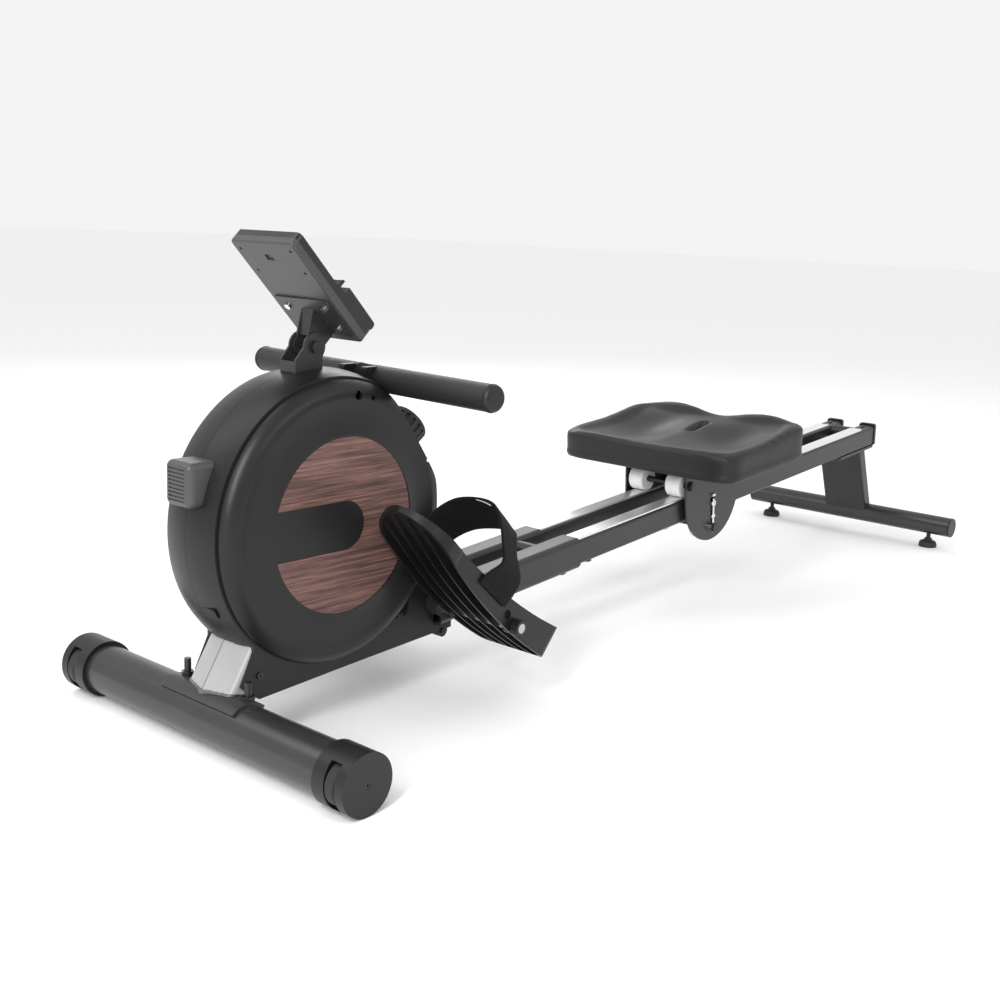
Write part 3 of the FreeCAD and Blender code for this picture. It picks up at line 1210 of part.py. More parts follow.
def build_rails():
    sleeves = []
    rails = []
    strips = []
    caps = []
    bolts = []
    pipe = rod_y(SHAFT_X, SHAFT_Z, PIPE_R, -PIPE_HALF, PIPE_HALF)
    for side in SIDES:
        y = side * RAIL_Y
        sleeve = tube_x(SLEEVE_FROM, SLEEVE_TO, y, SLEEVE_W, SLEEVE_LOW, SLEEVE_HIGH, SLEEVE_WALL, SLEEVE_CORNER)
        rail = tube_x(RAIL_FROM, RAIL_TO, y, RAIL_W, RAIL_BOTTOM, RAIL_TOP, RAIL_WALL, RAIL_CORNER)
        solid_rail = bar_x(RAIL_FROM, RAIL_TO, y, RAIL_W, RAIL_BOTTOM, RAIL_TOP, RAIL_CORNER)
        strip = box(STRIP_FROM, STRIP_TO, y - STRIP_W / 2, y + STRIP_W / 2, -STRIP_LIP, 0)
        strip = round_edges(strip, 1.6, X_AXIS).cut(solid_rail)
        for x in JUNCTION_X:
            seat = SLEEVE_LOW if x < SLEEVE_TO else RAIL_BOTTOM
            bolts.append(frame_bolt(x, y, seat))
            rail = rail.cut(bolt_hole(x, y))
            sleeve = sleeve.cut(bolt_hole(x, y))
        for x in LEG_BOLT_X:
            bolts.append(frame_bolt(x, y, RAIL_BOTTOM - LEG_PLATE_T))
            rail = rail.cut(bolt_hole(x, y))
        rail = rail.cut(rod_z(STOP_SCREW_X, y, SCREW_R + FIT, RAIL_TOP - SCREW_L - 1, RAIL_TOP + 1))
        cap = bar_x(RAIL_TO, RAIL_TO + END_CAP_T, y, RAIL_W + 2 * END_CAP_OVER, RAIL_BOTTOM - END_CAP_OVER,
                    RAIL_TOP + END_CAP_EAR, RAIL_CORNER)
        plug = bar_x(RAIL_TO - 12, RAIL_TO, y, RAIL_W - 2 * RAIL_WALL - 2 * FIT, RAIL_BOTTOM + RAIL_WALL + FIT,
                     RAIL_TOP - RAIL_WALL - FIT, RAIL_CORNER - RAIL_WALL)
        caps.append(cap.fuse(plug).removeSplitter())
        sleeves.append(on_rail(sleeve).cut(pipe))
        rails.append(on_rail(rail))
        strips.append(on_rail(strip))
    nodes["rail_sleeves"] = group(sleeves)
    nodes["slide_rails"] = group(rails)
    nodes["rail_strips"] = group(strips)
    nodes["rail_end_caps"] = group([on_rail(c) for c in caps])
    nodes["frame_bolts"] = group([on_rail(b) for b in bolts])
    front = SLEEVE_HALF_GAP
    rear = RAIL_Y - RAIL_W / 2
    nodes["rail_cross_tubes"] = group([
        on_rail(ring_y(CROSS_FRONT_X, -CROSS_DOWN, CROSS_R, CROSS_R - 2, -front, front)),
        on_rail(ring_y(CROSS_REAR_X, -CROSS_DOWN, CROSS_R, CROSS_R - 2, -rear, rear))])


SLEEVE_HALF_GAP = RAIL_Y - SLEEVE_W / 2


# ================================================================ rear leg, stabilizer and feet
def build_rear():
    stab_solid = rod_y(REAR_X, REAR_Z, REAR_R, -REAR_HALF, REAR_HALF)
    half = REAR_HALF - REAR_CAP_T
    tube = ring_y(REAR_X, REAR_Z, REAR_R, REAR_R - REAR_WALL, -half, half)
    foot_y = REAR_HALF - FOOT_IN
    caps = []
    for side in SIDES:
        y0, y1 = sorted((side * half, side * REAR_HALF))
        p0, p1 = sorted((side * (half - REAR_CAP_IN), side * half))
        cap = rod_y(REAR_X, REAR_Z, REAR_R, y0, y1)
        cap = cap.fuse(rod_y(REAR_X, REAR_Z, REAR_R - REAR_WALL - FIT, p0, p1))
        caps.append(cap.removeSplitter())
        tube = tube.cut(rod_z(REAR_X, side * foot_y, STEM_R + RUN, 0, REAR_Z))
    nodes["rear_stabilizer"] = tube
    nodes["rear_end_caps"] = group(caps)
    for side, name in ((-1, "left"), (1, "right")):
        pad = rod_z(REAR_X, side * foot_y, FOOT_R, 0, FOOT_H)
        pad = pad.makeFillet(FOOT_H * 0.6, [e for e in pad.Edges if e.BoundBox.ZMin > FOOT_H - 0.1])
        stem = rod_z(REAR_X, side * foot_y, STEM_R, FOOT_H - 1, REAR_Z - REAR_R + STEM_UP)
        collar = hexagon(REAR_X, side * foot_y, FOOT_H - 1, FOOT_H + 5, NUT_AF)
        nodes["foot_" + name] = union([pad, stem, collar])

    lean = FreeCAD.Placement(V(REAR_X, 0, REAR_Z), FreeCAD.Rotation(Y_AXIS, -LEG_LEAN))
    reach = 200.0
    outer = round_edges(box(-LEG_T / 2, LEG_T / 2, -LEG_HALF, LEG_HALF, 0, reach), LEG_CORNER, Z_AXIS)
    inner = box(-LEG_T / 2 + LEG_WALL, LEG_T / 2 - LEG_WALL, -LEG_HALF + LEG_WALL, LEG_HALF - LEG_WALL, -1, reach + 1)
    leg = placed(outer.cut(round_edges(inner, LEG_CORNER - LEG_WALL, Z_AXIS)), lean)
    over = on_rail(box(600, 1200, -200, 200, RAIL_BOTTOM - LEG_PLATE_T, 200))
    leg = cut_all(leg, [over, stab_solid])
    edge = RAIL_Y + RAIL_W / 2
    plate = box(LEG_PLATE_FROM, RAIL_TO, -edge, edge, RAIL_BOTTOM - LEG_PLATE_T, RAIL_BOTTOM)
    for side in SIDES:
        for x in LEG_BOLT_X:
            plate = plate.cut(bolt_hole(x, side * RAIL_Y))
    nodes["rear_leg"] = leg.fuse(on_rail(plate)).removeSplitter()


# ================================================================ seat and carriage
def build_seat():
    x0 = SEAT_MID - SEAT_L / 2
    x1 = SEAT_MID + SEAT_L / 2
    low = SEAT_BOTTOM
    side_view = [(x0, low), (x1, low), (x1, low + SEAT_REAR_T), (x1 - 30, low + SEAT_REAR_T),
                 (x1 - 90, low + SEAT_FRONT_T), (x0 + 14, low + SEAT_FRONT_T), (x0, low + SEAT_FRONT_T - 6)]
    cushion = round_edges(polygon_y(side_view, -SEAT_HALF, SEAT_HALF), SEAT_CORNER, Z_AXIS)
    nodes["seat_cushion"] = on_rail(cushion)

    half = CAR_HALF_L
    top = box(SEAT_MID - half, SEAT_MID + half, -CAR_PLATE_Y - CAR_PLATE_T, CAR_PLATE_Y + CAR_PLATE_T,
              low - CAR_TOP_T, low)
    axle_z = ROLLER_R + ROLLER_AIR
    low_z = RAIL_BOTTOM - ROLLER_AIR - LOW_R
    drop = CAR_ROUND_R
    cheeks = []
    for side in SIDES:
        y0, y1 = sorted((side * CAR_PLATE_Y, side * (CAR_PLATE_Y + CAR_PLATE_T)))
        outline = [line((SEAT_MID - half, low - CAR_TOP_T), (SEAT_MID - half, CAR_ROUND_Z)),
                   arc((SEAT_MID - half, CAR_ROUND_Z), (SEAT_MID, CAR_ROUND_Z - drop), (SEAT_MID + half, CAR_ROUND_Z)),
                   line((SEAT_MID + half, CAR_ROUND_Z), (SEAT_MID + half, low - CAR_TOP_T)),
                   line((SEAT_MID + half, low - CAR_TOP_T), (SEAT_MID - half, low - CAR_TOP_T))]
        cheeks.append(edges_y(outline, y0, y1))
    carriage = union([top] + cheeks)
    reach = CAR_PLATE_Y + CAR_PLATE_T
    axle_places = [(SEAT_MID - ROLLER_OFF, axle_z), (SEAT_MID + ROLLER_OFF, axle_z), (SEAT_MID, low_z)]
    axles = []
    for x, z in axle_places:
        carriage = carriage.cut(rod_y(x, z, ROLLER_AXLE_R + RUN, -reach - 1, reach + 1))
        axle = rod_y(x, z, ROLLER_AXLE_R, -reach - 3, reach + 3)
        for side in SIDES:
            y0, y1 = sorted((side * (reach + EYE_T), side * (reach + EYE_T + 4)))
            if z > 0:
                y0, y1 = sorted((side * reach, side * (reach + 4)))
            head = placed(hexagon(0, 0, 0, 4, NUT_AF + 1), FreeCAD.Placement(V(x, y1, z), FreeCAD.Rotation(X_AXIS, 90)))
            axle = axle.fuse(head).fuse(rod_y(x, z, ROLLER_AXLE_R, *sorted((0, side * (reach + EYE_T + 1)))))
        axles.append(axle.removeSplitter())
    adjusters = []
    for side in SIDES:
        y0, y1 = sorted((side * (CAR_PLATE_Y - 1), side * (reach + 1)))
        window = box(SEAT_MID - WINDOW / 2, SEAT_MID + WINDOW / 2, y0, y1, WINDOW_Z - WINDOW / 2, WINDOW_Z + WINDOW / 2)
        carriage = carriage.cut(window)
        e0, e1 = sorted((side * reach, side * (reach + EYE_T)))
        eye = rod_y(SEAT_MID, low_z, ROLLER_AXLE_R + 3.5, e0, e1)
        stem_y = side * (reach + EYE_T / 2)
        stem = rod_z(SEAT_MID, stem_y, EYE_T / 2, low_z + ROLLER_AXLE_R + 2, WINDOW_Z + 5)
        nut = hexagon(SEAT_MID, stem_y, WINDOW_Z - 6, WINDOW_Z - 2, EYE_T * 1.7)
        nut = nut.common(box(0, 900, e0 if side == 1 else e0 - 5, e1 + 5 if side == 1 else e1, -200, 200))
        adjusters.append(union([eye, stem, nut]).cut(rod_y(SEAT_MID, low_z, ROLLER_AXLE_R + FIT, e0 - 1, e1 + 1)))
    nodes["seat_carriage"] = on_rail(carriage)
    nodes["carriage_axles"] = group([on_rail(a) for a in axles])
    nodes["lower_adjusters"] = group([on_rail(a) for a in adjusters])
    names = ("front_rollers", "rear_rollers", "lower_rollers")
    for (x, z), name in zip(axle_places, names):
        radius = LOW_R if z < 0 else ROLLER_R
        width = LOW_W if z < 0 else ROLLER_W
        pair = []
        for side in SIDES:
            y = side * RAIL_Y
            roller = rod_y(x, z, radius, y - width / 2, y + width / 2)
            roller = roller.makeFillet(2.0, [e for e in roller.Edges if e.Curve.TypeId == "Part::GeomCircle"])
            pair.append(roller.cut(rod_y(x, z, ROLLER_AXLE_R + RUN, y - width, y + width)))
        nodes[name] = group([on_rail(p) for p in pair])


# ================================================================ build and write
build_front_stabilizer()
build_post_and_beam()
build_housing()
build_drive()
build_knob()
build_handle()
build_cradle()
build_console()
build_console_post()
build_pedals()
build_rails()
build_rear()
build_seat()

middle_x = group(list(nodes.values())).optimalBoundingBox(False).Center.x
for name, shape in nodes.items():
    shape.translate(V(-middle_x, 0, 0))
    shape.exportStep("parts/%s.step" % name)
    print("%-24s solids %d  valid %s  volume %.0f" % (name, len(shape.Solids), shape.isValid(), shape.Volume))
print("nodes", len(nodes), "moved by", -middle_x)
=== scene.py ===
# %% [markdown]
# # A rowing machine, dressed for the studio
# The machine's hard parts arrive ready made, as nodes with exact sizes. This lesson gives them their
# finishes, adds the soft pieces, and sets up a small studio round them.
# Lengths are in metres. +X runs from the flywheel to the seat, +Y to the rower's right, +Z up.

# %% Load the machine
import math

import bmesh
import bpy
from mathutils import Matrix, Vector, noise


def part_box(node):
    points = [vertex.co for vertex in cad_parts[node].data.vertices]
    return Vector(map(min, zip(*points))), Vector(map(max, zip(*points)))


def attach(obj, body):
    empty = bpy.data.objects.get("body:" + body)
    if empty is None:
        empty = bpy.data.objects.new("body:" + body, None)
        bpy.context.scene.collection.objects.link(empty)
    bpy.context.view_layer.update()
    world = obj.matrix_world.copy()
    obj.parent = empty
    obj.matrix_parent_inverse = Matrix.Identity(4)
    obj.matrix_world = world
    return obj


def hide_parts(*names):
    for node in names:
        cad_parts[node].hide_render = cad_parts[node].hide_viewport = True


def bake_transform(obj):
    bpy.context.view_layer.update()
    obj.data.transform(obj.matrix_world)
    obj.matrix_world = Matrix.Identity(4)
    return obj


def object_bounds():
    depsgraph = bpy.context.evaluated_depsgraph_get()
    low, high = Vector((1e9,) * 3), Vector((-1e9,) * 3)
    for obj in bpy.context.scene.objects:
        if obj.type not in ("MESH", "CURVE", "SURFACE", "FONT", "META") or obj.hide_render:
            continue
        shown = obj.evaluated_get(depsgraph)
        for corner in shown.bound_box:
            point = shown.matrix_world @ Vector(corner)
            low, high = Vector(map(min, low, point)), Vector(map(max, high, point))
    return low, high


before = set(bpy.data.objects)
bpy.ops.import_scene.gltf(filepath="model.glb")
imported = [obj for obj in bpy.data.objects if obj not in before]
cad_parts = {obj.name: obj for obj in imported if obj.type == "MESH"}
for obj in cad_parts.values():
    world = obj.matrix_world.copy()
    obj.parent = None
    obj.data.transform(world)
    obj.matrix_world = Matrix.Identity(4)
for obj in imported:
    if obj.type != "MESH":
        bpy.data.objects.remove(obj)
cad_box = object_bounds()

# %% [markdown]
# Sizes are easiest to think of in millimetres from the front foot's axis, so one helper turns such a
# point into the scene's metres. The front foot's own box says where its axis is.

# %% A ruler
foot_low, foot_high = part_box("front_stabilizer")
front_x = (foot_low[0] + foot_high[0]) / 2


def at(x, y, z):
    """A point in millimetres from under the front foot's axis."""
    return Vector((front_x + x / 1000, y / 1000, z / 1000))


X = Vector((1, 0, 0))
Y = Vector((0, 1, 0))
Z = Vector((0, 0, 1))
print("front foot axis at x =", round(front_x, 4))

# %% [markdown]
# Every added piece starts as a list of points and a list of faces. Blender can build a piece with its
# own editing tools too, but lists can be written by a formula, and a formula is easy to change later.
# Faces whose front side looks inwards shade wrongly, so a second helper turns them all outwards.

# %% From points to a piece
def new_piece(name, verts, faces, smooth=True):
    mesh = bpy.data.meshes.new(name)
    mesh.from_pydata([tuple(v) for v in verts], [], faces)
    mesh.validate()
    mesh.update()
    piece = bpy.data.objects.new(name, mesh)
    bpy.context.scene.collection.objects.link(piece)
    if smooth:
        mesh.polygons.foreach_set("use_smooth", [True] * len(mesh.polygons))
    return piece


def face_outwards(piece):
    bm = bmesh.new()
    bm.from_mesh(piece.data)
    bmesh.ops.recalc_face_normals(bm, faces=bm.faces)
    bm.to_mesh(piece.data)
    bm.free()
    return piece


print("helpers ready")

# %% [markdown]
# ## Finishes
# A believable surface is never one flat value. All the finishes but the wood start from one small
# recipe: a slow change of colour and gloss across the piece, and a fine relief from a noise pattern.
# The piece's own coordinates drive both, so the pattern stays on the piece when it moves. Pictures
# would have to be unwrapped onto sixty parts; a noise pattern needs no unwrapping.

# %% The common recipe
SLOW_SIZE = 14.0


def finish_of(name, colour, rough, metal=0.0, grain=600.0, relief=0.15, depth=0.0002,
              drift=0.25, spread=0.06, stretch=(1, 1, 1), shine=0.5):
    mat = bpy.data.materials.new(name)
    mat.use_nodes = True
    tree = mat.node_tree
    shader = tree.nodes["Principled BSDF"]
    shader.inputs["Metallic"].default_value = metal
    shader.inputs["Specular IOR Level"].default_value = shine
    where = tree.nodes.new("ShaderNodeTexCoord")
    mapping = tree.nodes.new("ShaderNodeMapping")
    mapping.inputs["Scale"].default_value = stretch
    tree.links.new(where.outputs["Object"], mapping.inputs["Vector"])
    slow = tree.nodes.new("ShaderNodeTexNoise")
    slow.inputs["Scale"].default_value = SLOW_SIZE
    slow.inputs["Detail"].default_value = 6.0
    tree.links.new(mapping.outputs["Vector"], slow.inputs["Vector"])
    tint = tree.nodes.new("ShaderNodeValToRGB")
    tint.color_ramp.elements[0].position = 0.3
    tint.color_ramp.elements[1].position = 0.7
    tint.color_ramp.elements[0].color = [c * (1 - drift) for c in colour] + [1]
    tint.color_ramp.elements[1].color = [min(1, c * (1 + drift)) for c in colour] + [1]
    tree.links.new(slow.outputs["Fac"], tint.inputs["Fac"])
    tree.links.new(tint.outputs["Color"], shader.inputs["Base Color"])
    gloss = tree.nodes.new("ShaderNodeMapRange")
    gloss.inputs["To Min"].default_value = max(0.02, rough - spread)
    gloss.inputs["To Max"].default_value = rough + spread
    tree.links.new(slow.outputs["Fac"], gloss.inputs["Value"])
    tree.links.new(gloss.outputs["Result"], shader.inputs["Roughness"])
    fine = tree.nodes.new("ShaderNodeTexNoise")
    fine.inputs["Scale"].default_value = grain
    fine.inputs["Detail"].default_value = 3.0
    tree.links.new(mapping.outputs["Vector"], fine.inputs["Vector"])
    bump = tree.nodes.new("ShaderNodeBump")
    bump.inputs["Strength"].default_value = relief
    bump.inputs["Distance"].default_value = depth
    tree.links.new(fine.outputs["Fac"], bump.inputs["Height"])
    tree.links.new(bump.outputs["Normal"], shader.inputs["Normal"])
    return mat


print("recipe ready")

# %% [markdown]
# The frame is powder coated: black, half gloss, with a faint orange peel. Mouldings are textured
# plastic. Real black parts differ mostly in gloss, so each has its own roughness and reflects a little
# less or more, and the colours stay nearly the same.

# %% Paints and plastics
black_coat = finish_of("black_powder_coat", (0.020, 0.020, 0.021), 0.34, grain=900, relief=0.22,
                       shine=0.45)
foot_coat = finish_of("front_tube_coat", (0.050, 0.050, 0.051), 0.27, metal=0.5, grain=900,
                      relief=0.12, drift=0.04, spread=0.02, shine=0.5)
shell_plastic = finish_of("housing_plastic", (0.009, 0.009, 0.0095), 0.36, grain=1800, relief=0.25,
                          drift=0.06, spread=0.02, shine=0.30)
black_plastic = finish_of("black_plastic", (0.010, 0.010, 0.011), 0.40, grain=1500, relief=0.35,
                          drift=0.15, shine=0.35)
pedal_plastic = finish_of("footrest_plastic", (0.007, 0.007, 0.007), 0.34, grain=1500, relief=0.35,
                          drift=0.15, shine=0.30)
grey_plastic = finish_of("console_back_plastic", (0.040, 0.040, 0.041), 0.40, grain=1600, relief=0.30,
                         drift=0.06)
ridge_plastic = finish_of("ribbed_plastic", (0.050, 0.050, 0.052), 0.40, grain=1600, relief=0.25,
                          drift=0.06)
gloss_black = finish_of("gloss_black_plastic", (0.010, 0.010, 0.011), 0.14, grain=300, relief=0.03,
                        spread=0.03)
white_plastic = finish_of("white_roller_plastic", (0.80, 0.80, 0.79), 0.36, grain=700, relief=0.10,
                          drift=0.03)
# Painted shade: a near-black, dull finish laid where a recess or a hole shows only shade.
painted_shade = finish_of("shadowed_recess", (0.003, 0.003, 0.003), 0.8, grain=500, relief=0.1, shine=0.1)
print("paints and plastics", len(bpy.data.materials))

# %% [markdown]
# The front post is light grey and the saddle welded under it is dark. Two materials would need the mesh
# cut in two. A distance from the foot's axis, worked out inside one material, separates the colours
# instead, and the mesh stays whole. A thin line of painted shade follows the fold down the post's middle,
# where the two front panels meet.

# %% The two-tone post
SADDLE_AXIS = 34.8
SADDLE_REACH = 0.035
# Painted shade along the fold: darkest within the first distance from the middle, clear beyond the second.
FOLD_SHADE_CORE = 0.0003
FOLD_SHADE_EDGE = 0.0014


def two_tone_post(name):
    mat = finish_of(name, (0.33, 0.33, 0.335), 0.36, grain=900, relief=0.25, drift=0.08)
    tree = mat.node_tree
    shader = tree.nodes["Principled BSDF"]
    ramp = next(n for n in tree.nodes if n.type == "VALTORGB")
    where = next(n for n in tree.nodes if n.type == "TEX_COORD")
    axis = at(0, 0, SADDLE_AXIS)
    from_axis = tree.nodes.new("ShaderNodeVectorMath")
    from_axis.operation = "SUBTRACT"
    from_axis.inputs[1].default_value = axis
    tree.links.new(where.outputs["Object"], from_axis.inputs[0])
    flatten = tree.nodes.new("ShaderNodeVectorMath")
    flatten.operation = "MULTIPLY"
    flatten.inputs[1].default_value = (1, 0, 1)
    tree.links.new(from_axis.outputs["Vector"], flatten.inputs[0])
    reach = tree.nodes.new("ShaderNodeVectorMath")
    reach.operation = "LENGTH"
    tree.links.new(flatten.outputs["Vector"], reach.inputs[0])
    edge = tree.nodes.new("ShaderNodeMapRange")
    edge.inputs["From Min"].default_value = SADDLE_REACH - 0.001
    edge.inputs["From Max"].default_value = SADDLE_REACH + 0.001
    tree.links.new(reach.outputs["Value"], edge.inputs["Value"])
    split = tree.nodes.new("ShaderNodeSeparateXYZ")
    tree.links.new(from_axis.outputs["Vector"], split.inputs["Vector"])
    fold = tree.nodes.new("ShaderNodeMath")
    fold.operation = "ABSOLUTE"
    tree.links.new(split.outputs["Y"], fold.inputs[0])
    # Painted shade: darkens a thin strip along the fold down the post's middle.
    fold_shade = tree.nodes.new("ShaderNodeMapRange")
    fold_shade.inputs["From Min"].default_value = FOLD_SHADE_CORE
    fold_shade.inputs["From Max"].default_value = FOLD_SHADE_EDGE
    fold_shade.inputs["To Min"].default_value = 0.35
    tree.links.new(fold.outputs["Value"], fold_shade.inputs["Value"])
    amount = tree.nodes.new("ShaderNodeMath")
    amount.operation = "MULTIPLY"
    tree.links.new(edge.outputs["Result"], amount.inputs[0])
    tree.links.new(fold_shade.outputs["Result"], amount.inputs[1])
    mix = tree.nodes.new("ShaderNodeMix")
    mix.data_type = "RGBA"
    mix.inputs["A"].default_value = (0.022, 0.022, 0.023, 1)
    tree.links.new(amount.outputs["Value"], mix.inputs["Factor"])
    tree.links.new(ramp.outputs["Color"], mix.inputs["B"])
    tree.links.new(mix.outputs["Result"], shader.inputs["Base Color"])
    return mat


post_coat = two_tone_post("front_post_coat")
print("post done")

# %% [markdown]
# Shafts and bearings are zinc plated, faintly yellow. The frame's screws are zinc plated black. The
# bracket's screws are bright steel, and the running strips are extruded aluminium with fine lines along
# the rail. One way to get such lines is an anisotropic shader; stretching the noise pattern is simpler
# and its lines can be seen in close views too.

# %% Metals
zinc = finish_of("zinc_steel", (0.46, 0.45, 0.43), 0.30, metal=1.0, grain=700, relief=0.2, drift=0.12)
dark_zinc = finish_of("black_zinc_steel", (0.045, 0.045, 0.047), 0.30, metal=0.8, grain=700,
                      relief=0.2, drift=0.12)
chrome = finish_of("bright_steel", (0.72, 0.72, 0.73), 0.16, metal=1.0, grain=500, relief=0.05,
                   drift=0.05, spread=0.04)
strip_metal = finish_of("extruded_aluminium", (0.86, 0.86, 0.87), 0.30, metal=0.80, grain=900,
                        relief=0.25, drift=0.06,
                        stretch=(0.02, 1, 1))
cast_metal = finish_of("cast_iron", (0.09, 0.09, 0.09), 0.62, metal=0.6, grain=500, relief=0.5,
                       drift=0.2)
weld_metal = finish_of("painted_weld", (0.10, 0.10, 0.10), 0.35, grain=420, relief=0.9, depth=0.0006)
print("metals done")

# %% [markdown]
# Rubber and foam scatter light, so they are rough. The grip foam has tiny open cells: a strong, fine
# relief. Seat skin is moulded with a leather-like grain. Noise alone would look like orange peel, so a
# cell pattern makes it, which has borders between the grains.

# %% Rubber, foam and skin
rubber = finish_of("black_rubber", (0.012, 0.012, 0.012), 0.62, grain=1100, relief=0.3)
foam = finish_of("grip_foam", (0.013, 0.013, 0.014), 0.48, grain=1500, relief=0.8, depth=0.0003,
                 shine=0.4)


def grained_skin(name, colour, rough):
    mat = finish_of(name, colour, rough, grain=500, relief=0.2, drift=0.12, shine=0.35)
    tree = mat.node_tree
    bump = next(n for n in tree.nodes if n.type == "BUMP")
    cells = tree.nodes.new("ShaderNodeTexVoronoi")
    cells.inputs["Scale"].default_value = 900.0
    where = next(n for n in tree.nodes if n.type == "TEX_COORD")
    tree.links.new(where.outputs["Object"], cells.inputs["Vector"])
    tree.links.new(cells.outputs["Distance"], bump.inputs["Height"])
    bump.inputs["Strength"].default_value = 0.30
    return mat


seat_skin = grained_skin("seat_skin", (0.012, 0.012, 0.013), 0.44)
print("skins done")

# %% [markdown]
# Webbing is woven: two sets of ridges that cross. Real threads would be thousands of faces. Two wave
# patterns along the band's own length and width, multiplied, give the same relief at no cost. The bands
# carry a UV map in metres for this, so the weave has one size everywhere.

# %% Webbing
def webbing_finish(name, colour):
    mat = finish_of(name, colour, 0.86, grain=2200, relief=0.4, shine=0.15)
    tree = mat.node_tree
    shader = tree.nodes["Principled BSDF"]
    shader.inputs["Sheen Weight"].default_value = 0.03
    uv = tree.nodes.new("ShaderNodeUVMap")
    uv.uv_map = "weave"
    waves = []
    for direction in ("X", "Y"):
        wave = tree.nodes.new("ShaderNodeTexWave")
        wave.bands_direction = direction
        wave.inputs["Scale"].default_value = 190.0
        tree.links.new(uv.outputs["UV"], wave.inputs["Vector"])
        waves.append(wave)
    cross = tree.nodes.new("ShaderNodeMath")
    cross.operation = "MULTIPLY"
    tree.links.new(waves[0].outputs["Fac"], cross.inputs[0])
    tree.links.new(waves[1].outputs["Fac"], cross.inputs[1])
    bump = next(n for n in tree.nodes if n.type == "BUMP")
    bump.inputs["Strength"].default_value = 0.7
    bump.inputs["Distance"].default_value = 0.0006
    tree.links.new(cross.outputs["Value"], bump.inputs["Height"])
    return mat


webbing = webbing_finish("black_webbing", (0.006, 0.006, 0.006))
tag_cloth = finish_of("light_tag", (0.62, 0.62, 0.60), 0.8, grain=1800, relief=0.4)
print("webbing done")

# %% [markdown]
# The drum's round inlay looks like dark walnut: long streaks along X and fine darker pores. A picture of
# wood would be quick but has a fixed size. Stretched noise has none: one pattern makes the streaks and a
# much finer one the pores, and the pores are pressed in a little as relief.

# %% Wood
def walnut(name):
    mat = bpy.data.materials.new(name)
    mat.use_nodes = True
    tree = mat.node_tree
    shader = tree.nodes["Principled BSDF"]
    shader.inputs["Roughness"].default_value = 0.55
    where = tree.nodes.new("ShaderNodeTexCoord")

    def streaks(stretch, scale, detail, distortion):
        mapping = tree.nodes.new("ShaderNodeMapping")
        mapping.inputs["Scale"].default_value = stretch
        tree.links.new(where.outputs["Object"], mapping.inputs["Vector"])
        pattern = tree.nodes.new("ShaderNodeTexNoise")
        pattern.inputs["Scale"].default_value = scale
        pattern.inputs["Detail"].default_value = detail
        pattern.inputs["Distortion"].default_value = distortion
        tree.links.new(mapping.outputs["Vector"], pattern.inputs["Vector"])
        return pattern

    grain = streaks((1.2, 8, 40), 9.0, 8.0, 0.4)
    pores = streaks((6, 30, 260), 6.0, 5.0, 0.2)
    ramp = tree.nodes.new("ShaderNodeValToRGB")
    ramp.color_ramp.elements[0].position = 0.30
    ramp.color_ramp.elements[0].color = (0.050, 0.022, 0.018, 1)
    ramp.color_ramp.elements[1].position = 0.72
    ramp.color_ramp.elements[1].color = (0.235, 0.118, 0.098, 1)
    middle = ramp.color_ramp.elements.new(0.50)
    middle.color = (0.130, 0.060, 0.050, 1)
    tree.links.new(grain.outputs["Fac"], ramp.inputs["Fac"])
    dark = tree.nodes.new("ShaderNodeValToRGB")
    dark.color_ramp.elements[0].position = 0.36
    dark.color_ramp.elements[0].color = (0.45, 0.42, 0.42, 1)
    dark.color_ramp.elements[1].position = 0.52
    dark.color_ramp.elements[1].color = (1, 1, 1, 1)
    tree.links.new(pores.outputs["Fac"], dark.inputs["Fac"])
    both = tree.nodes.new("ShaderNodeMix")
    both.data_type = "RGBA"
    both.blend_type = "MULTIPLY"
    both.inputs["Factor"].default_value = 1.0
    tree.links.new(ramp.outputs["Color"], both.inputs["A"])
    tree.links.new(dark.outputs["Color"], both.inputs["B"])
    tree.links.new(both.outputs["Result"], shader.inputs["Base Color"])
    bump = tree.nodes.new("ShaderNodeBump")
    bump.inputs["Strength"].default_value = 0.25
    bump.inputs["Distance"].default_value = 0.0003
    tree.links.new(pores.outputs["Fac"], bump.inputs["Height"])
    tree.links.new(bump.outputs["Normal"], shader.inputs["Normal"])
    return mat


wood = walnut("walnut_inlay")
print("wood done")

# %% [markdown]
# ## Dressing the ready-made parts
# One table says which finish each part has. Materials could be handed out one by one, but a table shows
# all the choices at a glance. The parts' own meshes stay as they are.

